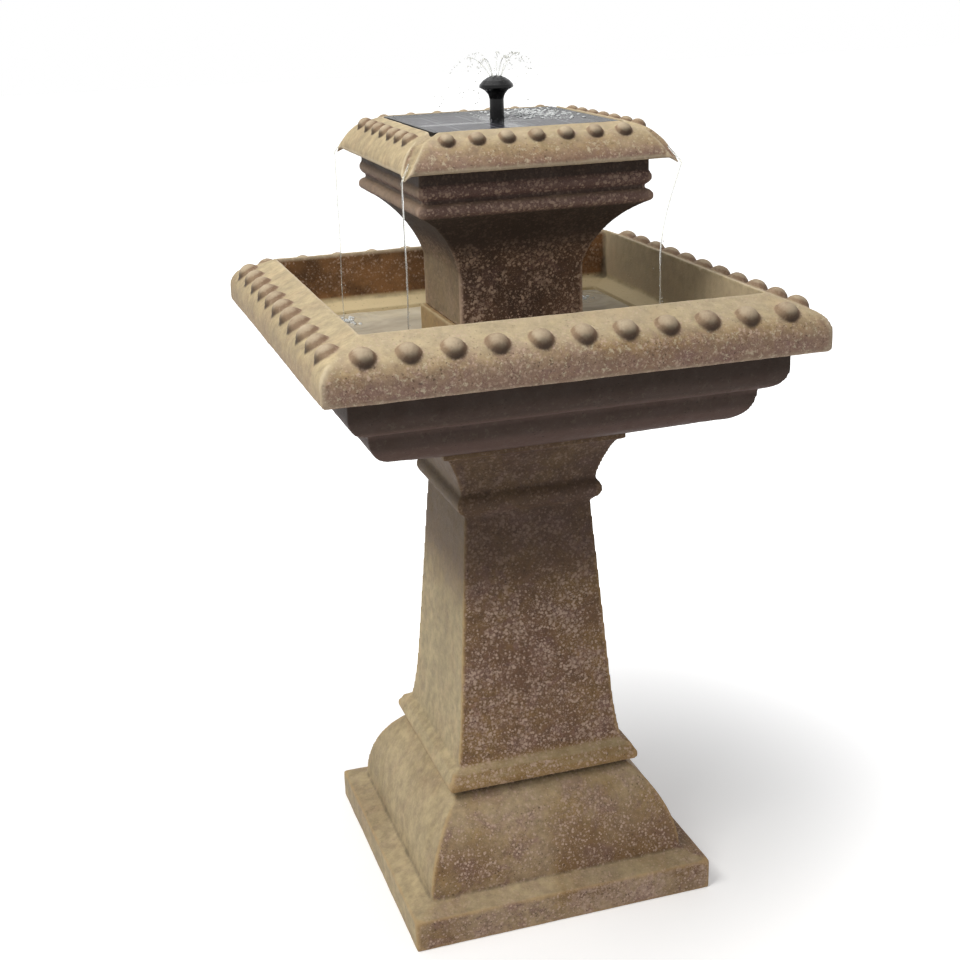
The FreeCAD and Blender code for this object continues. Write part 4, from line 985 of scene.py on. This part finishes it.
def ferrite():
    return moulded("Ferrite", (0.030, 0.029, 0.028), (0.40, 0.62), 0.12, 0.4)


def core_steel():
    return moulded("Core Steel", (0.28, 0.28, 0.29), (0.35, 0.60), 0.2, 0.4, 1.0, 95.0)


def finish(names, material, bevel=0.0):
    """Give CAD nodes their material and, where edges are moulded, a small round in millimetres."""
    for name in names:
        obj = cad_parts[name]
        obj.data.materials.clear()
        obj.data.materials.append(material)
        if bevel:
            edge = obj.modifiers.new("edge_round", "BEVEL")
            edge.width = bevel * MM
            edge.segments = 2
            edge.limit_method = "ANGLE"
            edge.angle_limit = math.radians(40)


# Water shapes

def tube_faces(points, radii, sides, first):
    """Vertices and faces of a round thread through the points, closed at both ends."""
    vertices, faces = [], []
    for i, point in enumerate(points):
        before, after = points[max(i - 1, 0)], points[min(i + 1, len(points) - 1)]
        way = (after - before).normalized()
        across = way.orthogonal().normalized()
        beside = way.cross(across)
        for k in range(sides):
            angle = 2 * math.pi * k / sides
            vertices.append(point + radii[i] * (math.cos(angle) * across + math.sin(angle) * beside))
    for i in range(len(points) - 1):
        for k in range(sides):
            a, b = first + i * sides + k, first + i * sides + (k + 1) % sides
            faces.append((a, b, b + sides, a + sides))
    faces.append(tuple(first + k for k in reversed(range(sides))))
    last = first + (len(points) - 1) * sides
    faces.append(tuple(last + k for k in range(sides)))
    return vertices, faces


def drop_faces(centre, radius, flat, first):
    """A small round drop; flat below 1 presses it down."""
    bead = bmesh.new()
    bmesh.ops.create_icosphere(bead, subdivisions=2 if radius > 1.6 * MM else 1, radius=radius)
    bead.verts.ensure_lookup_table()
    vertices = [Vector((v.co.x, v.co.y, v.co.z * flat)) + centre for v in bead.verts]
    faces = [tuple(first + v.index for v in face.verts) for face in bead.faces]
    bead.free()
    return vertices, faces


def water_mesh(name, threads, drops):
    """One mesh of threads (points, radii, sides) and drops (centre, radius, flatness)."""
    vertices, faces = [], []
    for points, radii, sides in threads:
        made, rims = tube_faces(points, radii, sides, len(vertices))
        vertices += made
        faces += rims
    for centre, radius, flat in drops:
        made, rims = drop_faces(centre, radius, flat, len(vertices))
        vertices += made
        faces += rims
    return mesh_object(name, vertices, faces)


def stream_feet():
    """Where the four corner streams meet the pool."""
    out = UPPER_HIGH.x + 2.5 * MM
    return [Vector((sx * out, sy * out, 0)) for sx, sy in ((-1, -1), (1, -1), (1, 1), (-1, 1))]


def ripple(x, y, feet, seeds):
    """Height of the pool's surface above its level."""
    rise = 0.0
    for foot in feet:
        away = math.hypot(x - foot.x, y - foot.y)
        rise += 0.8 * MM * math.exp(-away / 0.030) * math.cos(2 * math.pi * away / 0.016)
    for angle, length, height, phase in seeds:
        along = x * math.cos(angle) + y * math.sin(angle)
        rise += height * math.sin(2 * math.pi * along / length + phase)
    return rise


def rippled_square(name, half, hole, level, cell, feet):
    """A square of water with a square hole in it, on a fine grid."""
    chance = random.Random(5)
    seeds = [(chance.uniform(0, math.pi), chance.uniform(0.03, 0.09), chance.uniform(0.05, 0.15) * MM,
              chance.uniform(0, 6)) for _ in range(9)]
    count = 2 * int(math.ceil(half / cell))
    step = 2 * half / count
    lines = sorted([-half + i * step for i in range(count + 1)] + ([-hole, hole] if hole else []))
    index, points, faces = {}, [], []
    for i, x in enumerate(lines):
        for j, y in enumerate(lines):
            if hole and max(abs(x), abs(y)) < hole - 1e-6:
                continue
            index[i, j] = len(points)
            points.append((x, y, level + ripple(x, y, feet, seeds)))
    for i in range(len(lines) - 1):
        for j in range(len(lines) - 1):
            corners = [(i, j), (i + 1, j), (i + 1, j + 1), (i, j + 1)]
            middle = (abs(lines[i] + lines[i + 1]) / 2, abs(lines[j] + lines[j + 1]) / 2)
            if hole and max(middle) < hole:
                continue
            faces.append([index[c] for c in corners])
    return mesh_object(name, points, faces)


def stream_path(foot, sway, bottom):
    """Down the mitre's groove, off the tip and down to the pool, with a curl inwards by the sway."""
    tip_half, top_level = UPPER_HIGH.x, UPPER_HIGH.z
    side = Vector((math.copysign(1, foot.x), math.copysign(1, foot.y), 0))
    stations = ((10, 25.6), (6, 31.6), (2.5, 36.5), (0.4, 39.6), (-0.5, 42.0))
    path = [side * (tip_half - back * MM) + Vector((0, 0, top_level - drop * MM)) for back, drop in stations]
    top = path[-1]
    fall = top.z - bottom
    for i in range(1, STREAM_STEPS + 1):
        share = i / STREAM_STEPS
        curl = math.sin(min(1.0, share * 1.9) * math.pi / 2)
        shiver = 0.7 * MM * math.sin(9 * share + 5 * foot.x * 20) * share
        path.append(top + Vector((sway.x * curl + shiver + side.x * MM * share,
                                  sway.y * curl + side.y * MM * share, -fall * share)))
    return path


# Operators

class FOUNTAIN_OT_pedestal(bpy.types.Operator):
    """Weather the plinth and shaft castings"""

    bl_idname = "fountain.pedestal"
    bl_label = "Plinth and shaft"

    def execute(self, context):
        stone = settings().stone
        weathered_casting("base_plinth", "plinth_stone_skin", "pedestal", "Plinth Stone",
                          stone.middle_cell)
        weathered_casting("pedestal_shaft", "shaft_stone_skin", "pedestal", "Shaft Stone",
                          stone.middle_cell, 0.7)
        return {"FINISHED"}


class FOUNTAIN_OT_basin(bpy.types.Operator):
    """Weather the lower basin and the curb in it"""

    bl_idname = "fountain.basin"
    bl_label = "Lower basin"

    def execute(self, context):
        stone, studs = settings().stone, settings().studs
        centres = stud_centres(studs.rim_pitch, studs.rim_row, RIM_HIGH.z - studs.rim_drop, studs.rim_count)
        weathered_casting("lower_basin", "basin_stone_skin", "pedestal", "Basin Stone",
                          stone.broad_cell, 1.2, (centres, studs.rim_radius))
        weathered_casting("pump_curb", "curb_stone_skin", "pedestal", "Curb Stone",
                          stone.fine_cell)
        return {"FINISHED"}


class FOUNTAIN_OT_upper_castings(bpy.types.Operator):
    """Weather the column and the upper basin"""

    bl_idname = "fountain.upper_castings"
    bl_label = "Column and upper basin"

    def execute(self, context):
        stone, studs = settings().stone, settings().studs
        weathered_casting("upper_column", "column_stone_skin", "upper_tier", "Column Stone",
                          stone.fine_cell, 0.8)
        level = UPPER_HIGH.z - studs.upper_drop
        centres = stud_centres(studs.upper_pitch, studs.upper_row, level, studs.upper_count)
        weathered_casting("upper_basin", "upper_stone_skin", "upper_tier", "Upper Basin Stone",
                          stone.fine_cell, 1.0, (centres, studs.upper_radius))
        return {"FINISHED"}


class FOUNTAIN_OT_panel(bpy.types.Operator):
    """Finish the solar panel and what hangs under it"""

    bl_idname = "fountain.panel"
    bl_label = "Solar panel"

    def execute(self, context):
        finish(["panel_frame", "junction_box"], black_plastic(), 0.8)
        finish(["junction_lid"], black_plastic(), 0.3)
        finish(["panel_gland", "panel_pads"], soft_rubber(), 0.3)
        finish(["panel_glass"], shared_material("Panel Glass"))
        finish(["solar_cells"], shared_material("Solar Wafer"))
        return {"FINISHED"}


class FOUNTAIN_OT_nozzle(bpy.types.Operator):
    """Finish the spray nozzle"""

    bl_idname = "fountain.nozzle"
    bl_label = "Nozzle"

    def execute(self, context):
        finish(["nozzle_body"], nozzle_plastic(), 0.5)
        finish(["nozzle_cap"], nozzle_plastic(), 0.2)
        return {"FINISHED"}


class FOUNTAIN_OT_pump(bpy.types.Operator):
    """Finish the pump, its motor and its strainer"""

    bl_idname = "fountain.pump"
    bl_label = "Pump"

    def execute(self, context):
        finish(["pump_housing", "pump_back_cover", "pump_volute", "intake_plate", "strainer_cover"],
               pump_plastic(), 0.4)
        finish(["flow_dial"], black_plastic(), 0.3)
        finish(["impeller"], rotor_plastic(), 0.15)
        finish(["rotor_magnet"], ferrite())
        finish(["impeller_shaft", "shaft_bushes"], ceramic())
        finish(["stator_core"], core_steel())
        finish(["stator_coil"], shared_material("Coil Copper"))
        finish(["filter_foam"], shared_material("Filter Sponge"))
        finish(["suction_feet"], soft_rubber(), 0.4)
        finish(["pump_screws"], zinc(), 0.2)
        return {"FINISHED"}


class FOUNTAIN_OT_water_line(bpy.types.Operator):
    """Finish the riser, hose, leads and their fittings"""

    bl_idname = "fountain.water_line"
    bl_label = "Hose and leads"

    def execute(self, context):
        finish(["riser_tube"], black_plastic(), 0.2)
        finish(["riser_nut", "lead_socket", "lead_plug"], black_plastic(), 0.4)
        finish(["riser_seal", "lead_grommet", "supply_hose", "pump_lead", "panel_lead"], soft_rubber())
        finish(["hose_clip"], zinc(), 0.2)
        return {"FINISHED"}


class FOUNTAIN_OT_fixings(bpy.types.Operator):
    """Finish the bolts, nuts, washers and seals between the castings"""

    bl_idname = "fountain.fixings"
    bl_label = "Fixings"

    def execute(self, context):
        finish(["plinth_bolts", "plinth_nuts", "basin_bolts", "basin_nuts"], zinc(), 0.4)
        finish(["plinth_washers"], zinc(), 0.2)
        finish(["basin_seals"], soft_rubber(), 0.3)
        return {"FINISHED"}


class FOUNTAIN_OT_pool(bpy.types.Operator):
    """Fill the lower basin and lay the froth where the streams land"""

    bl_idname = "fountain.pool"
    bl_label = "Pool"

    def execute(self, context):
        water = settings().water
        level = RIM_HIGH.z - water.pool_drop
        pool = rippled_square("pool_water", water.pool_half, water.curb_half, level, 3.2 * MM, stream_feet())
        pool.data.materials.append(shared_material("Water"))
        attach(pool, "pedestal")
        chance = random.Random(11)
        drops = []
        for foot in stream_feet():
            for _ in range(water.foot_bubbles):
                away = abs(chance.gauss(0, 9)) * MM
                angle = chance.uniform(0, 2 * math.pi)
                size = chance.uniform(0.7, 2.3) * MM
                spot = foot + Vector((away * math.cos(angle), away * math.sin(angle), level + 0.4 * size))
                drops.append((spot, size, 0.75))
        froth = water_mesh("pool_froth", [], drops)
        froth.data.materials.append(shared_material("Froth"))
        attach(froth, "pedestal")
        return {"FINISHED"}


class FOUNTAIN_OT_upper_water(bpy.types.Operator):
    """Fill the tray round the panel and let the streams fall from its four tips"""

    bl_idname = "fountain.upper_water"
    bl_label = "Tray and streams"

    def execute(self, context):
        water = settings().water
        level = UPPER_HIGH.z - water.tray_drop
        tray = rippled_square("tray_water", water.tray_half, GLASS_HIGH.x + 5.3 * MM, level, 4.0 * MM, [])
        tray.data.materials.append(shared_material("Water"))
        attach(tray, "upper_tier")
        bottom = RIM_HIGH.z - water.pool_drop
        sways = [Vector((x, y, 0)) * MM for x, y in ((1, 1), (-22, 4), (-3, -3), (0, -1))]
        threads, drops = [], []
        chance = random.Random(3)
        for foot, sway in zip(stream_feet(), sways):
            path = stream_path(foot, sway, bottom)
            radii = []
            for i in range(len(path)):
                falling = max(0, i - 4) / (len(path) - 5)
                radii.append(water.stream_radius * (1.15 - 0.35 * falling + 0.12 * math.sin(2.1 * i)))
            threads.append((path, radii, STREAM_SIDES))
            for _ in range(water.stream_drops):
                beside = path[chance.randrange(12, len(path))]
                away = Vector((chance.gauss(0, 2.2), chance.gauss(0, 2.2), chance.uniform(-3, 3))) * MM
                drops.append((beside + away, chance.uniform(0.35, 0.8) * MM, 1.2))
        streams = water_mesh("corner_streams", threads, drops)
        streams.data.materials.append(shared_material("Falling Water"))
        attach(streams, "upper_tier")
        return {"FINISHED"}


class FOUNTAIN_OT_spray(bpy.types.Operator):
    """Jets from the nozzle, with the drops they break into"""

    bl_idname = "fountain.spray"
    bl_label = "Spray"

    def execute(self, context):
        water = settings().water
        top = CAP_HIGH.z
        floor = GLASS_HIGH.z
        chance = random.Random(8)
        threads, drops = [], []
        for i in range(water.jets):
            turn = 2 * math.pi * (i + 0.3) / water.jets
            reach = chance.uniform(26, 46) * MM
            rise = water.jet_rise * chance.uniform(0.78, 1.0)
            out = Vector((math.cos(turn), math.sin(turn), 0))
            land = 0.5 + 0.5 * math.sqrt(1 + (top - floor) / rise)

            def spot(share):
                height = top - 1 * MM + 4 * rise * share * (1 - share)
                return out * (6 * MM + reach * share) + Vector((0, 0, height))

            path = [spot(0.5 * k / JET_STEPS) for k in range(JET_STEPS + 1)]
            threads.append((path, [0.62 * MM * (1 - 0.035 * k) for k in range(JET_STEPS + 1)], JET_SIDES))
            for _ in range(water.jet_drops):
                share = chance.uniform(0.42, land)
                loose = 5.5 * MM * (share - 0.35)
                astray = Vector((chance.gauss(0, 1), chance.gauss(0, 1), chance.gauss(0, 0.4)))
                centre = spot(share) + astray * loose
                centre.z = min(centre.z, top + water.jet_rise)
                if centre.z > floor + water.clear_air:
                    drops.append((centre, chance.uniform(0.35, 0.95) * MM, 1.1))
        spray = water_mesh("nozzle_spray", threads, drops)
        spray.data.materials.append(shared_material("Falling Water"))
        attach(spray, "nozzle")
        wet = []
        for _ in range(water.panel_drops):
            x, y = chance.gauss(58, 26) * MM, chance.gauss(34, 36) * MM
            if max(abs(x), abs(y)) < GLASS_HIGH.x - 3 * MM and math.hypot(x, y) > 12 * MM:
                size = chance.uniform(0.6, 2.2) * MM
                wet.append((Vector((x, y, floor + 0.1 * size)), size, 0.45))
        beads = water_mesh("panel_drops", [], wet)
        beads.data.materials.append(shared_material("Froth"))
        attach(beads, "solar_panel")
        return {"FINISHED"}


def lamp(name, place, aim, size, power, colour):
    data = bpy.data.lights.new(name, "AREA")
    data.shape = "RECTANGLE"
    data.size, data.size_y = size
    data.energy = power
    data.color = colour
    obj = add_object(name, data)
    obj.location = place
    obj.rotation_mode = "QUATERNION"
    obj.rotation_quaternion = (aim - Vector(place)).to_track_quat("-Z", "Y")


def seen_rays(t):
    """1 where the camera, a reflection or a refraction looks, and 0 for the light on surfaces."""
    rays = t.node("ShaderNodeLightPath").outputs
    seen = t.maths("ADD", rays["Is Camera Ray"], rays["Is Glossy Ray"], clamp=True)
    return t.maths("ADD", seen, rays["Is Transmission Ray"], clamp=True)


def even_sky(strength):
    """White where it is seen, and an even light elsewhere."""
    world = bpy.data.worlds.new("Even Sky")
    bpy.context.scene.world = world
    world.use_nodes = True
    t = Tree(world.node_tree)
    background = world.node_tree.nodes["Background"]
    share = t.maths("MULTIPLY_ADD", seen_rays(t), 1.0 - strength, strength)
    background.inputs["Color"].default_value = (1, 1, 1, 1)
    t.feed(background.inputs["Strength"], share)


class FOUNTAIN_OT_stage(bpy.types.Operator):
    """Floor, lamps, sky and camera"""

    bl_idname = "fountain.stage"
    bl_label = "Stage"

    def execute(self, context):
        stage = settings().stage
        middle = Vector((0, 0, 0.5 * (CAD_BOX[0][2] + CAD_BOX[1][2])))
        corners = [(x * FLOOR_HALF, y * FLOOR_HALF, 0) for x, y in ((-1, -1), (1, -1), (1, 1), (-1, 1))]
        floor = mesh_object("floor", corners, [(0, 1, 2, 3)], False)
        floor.data.materials.append(shared_material("Floor"))
        lamp("key", (-1.45, -0.70, 2.70), middle, (1.1, 1.1), stage.key, (1.0, 0.98, 0.95))
        lamp("overhead", (-0.3, 0.4, 2.7), middle, (2.2, 2.2), stage.top, (1.0, 1.0, 1.0))
        even_sky(stage.fill)
        back = Vector((math.sin(stage.azimuth) * math.cos(stage.elevation),
                       -math.cos(stage.azimuth) * math.cos(stage.elevation), math.sin(stage.elevation)))
        level = Vector((math.cos(stage.azimuth), math.sin(stage.azimuth), 0))
        upright = back.cross(level)
        right = math.cos(stage.roll) * level + math.sin(stage.roll) * upright
        up = -math.sin(stage.roll) * level + math.cos(stage.roll) * upright
        place = back * stage.distance + Vector((0, 0, stage.aim_height)) + level * stage.aim_side
        data = bpy.data.cameras.new("camera")
        data.lens = stage.lens
        data.sensor_width = 36
        camera = add_object("camera", data)
        turn = Matrix((right, up, back)).transposed().to_4x4()
        camera.matrix_world = Matrix.Translation(place) @ turn
        context.scene.camera = camera
        context.scene.view_settings.view_transform = "Standard"
        return {"FINISHED"}


class FOUNTAIN_PT_panel(bpy.types.Panel):
    """The fountain's sizes, colours and steps"""

    bl_label = "Tiered fountain"
    bl_idname = "FOUNTAIN_PT_panel"
    bl_space_type = "VIEW_3D"
    bl_region_type = "UI"
    bl_category = "Fountain"

    def draw(self, context):
        for group in ("stone", "studs", "water", "fittings", "stage"):
            box = self.layout.box()
            box.label(text=group.capitalize())
            values = getattr(context.scene.fountain, group)
            for name in values.bl_rna.properties.keys():
                if name not in ("rna_type", "name"):
                    box.prop(values, name)
        for step in STEPS:
            self.layout.operator(step.bl_idname)


STEPS = (
    FOUNTAIN_OT_pedestal,
    FOUNTAIN_OT_basin,
    FOUNTAIN_OT_upper_castings,
    FOUNTAIN_OT_panel,
    FOUNTAIN_OT_nozzle,
    FOUNTAIN_OT_pump,
    FOUNTAIN_OT_water_line,
    FOUNTAIN_OT_fixings,
    FOUNTAIN_OT_pool,
    FOUNTAIN_OT_upper_water,
    FOUNTAIN_OT_spray,
    FOUNTAIN_OT_stage,
)
GROUPS = (StoneSettings, StudSettings, WaterSettings, FittingSettings, StageSettings, FountainSettings)
CLASSES = GROUPS + STEPS + (FOUNTAIN_PT_panel,)


def register():
    for made in CLASSES:
        bpy.utils.register_class(made)
    bpy.types.Scene.fountain = PointerProperty(type=FountainSettings)


def unregister():
    del bpy.types.Scene.fountain
    for made in reversed(CLASSES):
        bpy.utils.unregister_class(made)


def main():
    register()
    for step in STEPS:
        area, name = step.bl_idname.split(".")
        getattr(getattr(bpy.ops, area), name)()


if __name__ == "__main__":
    main()
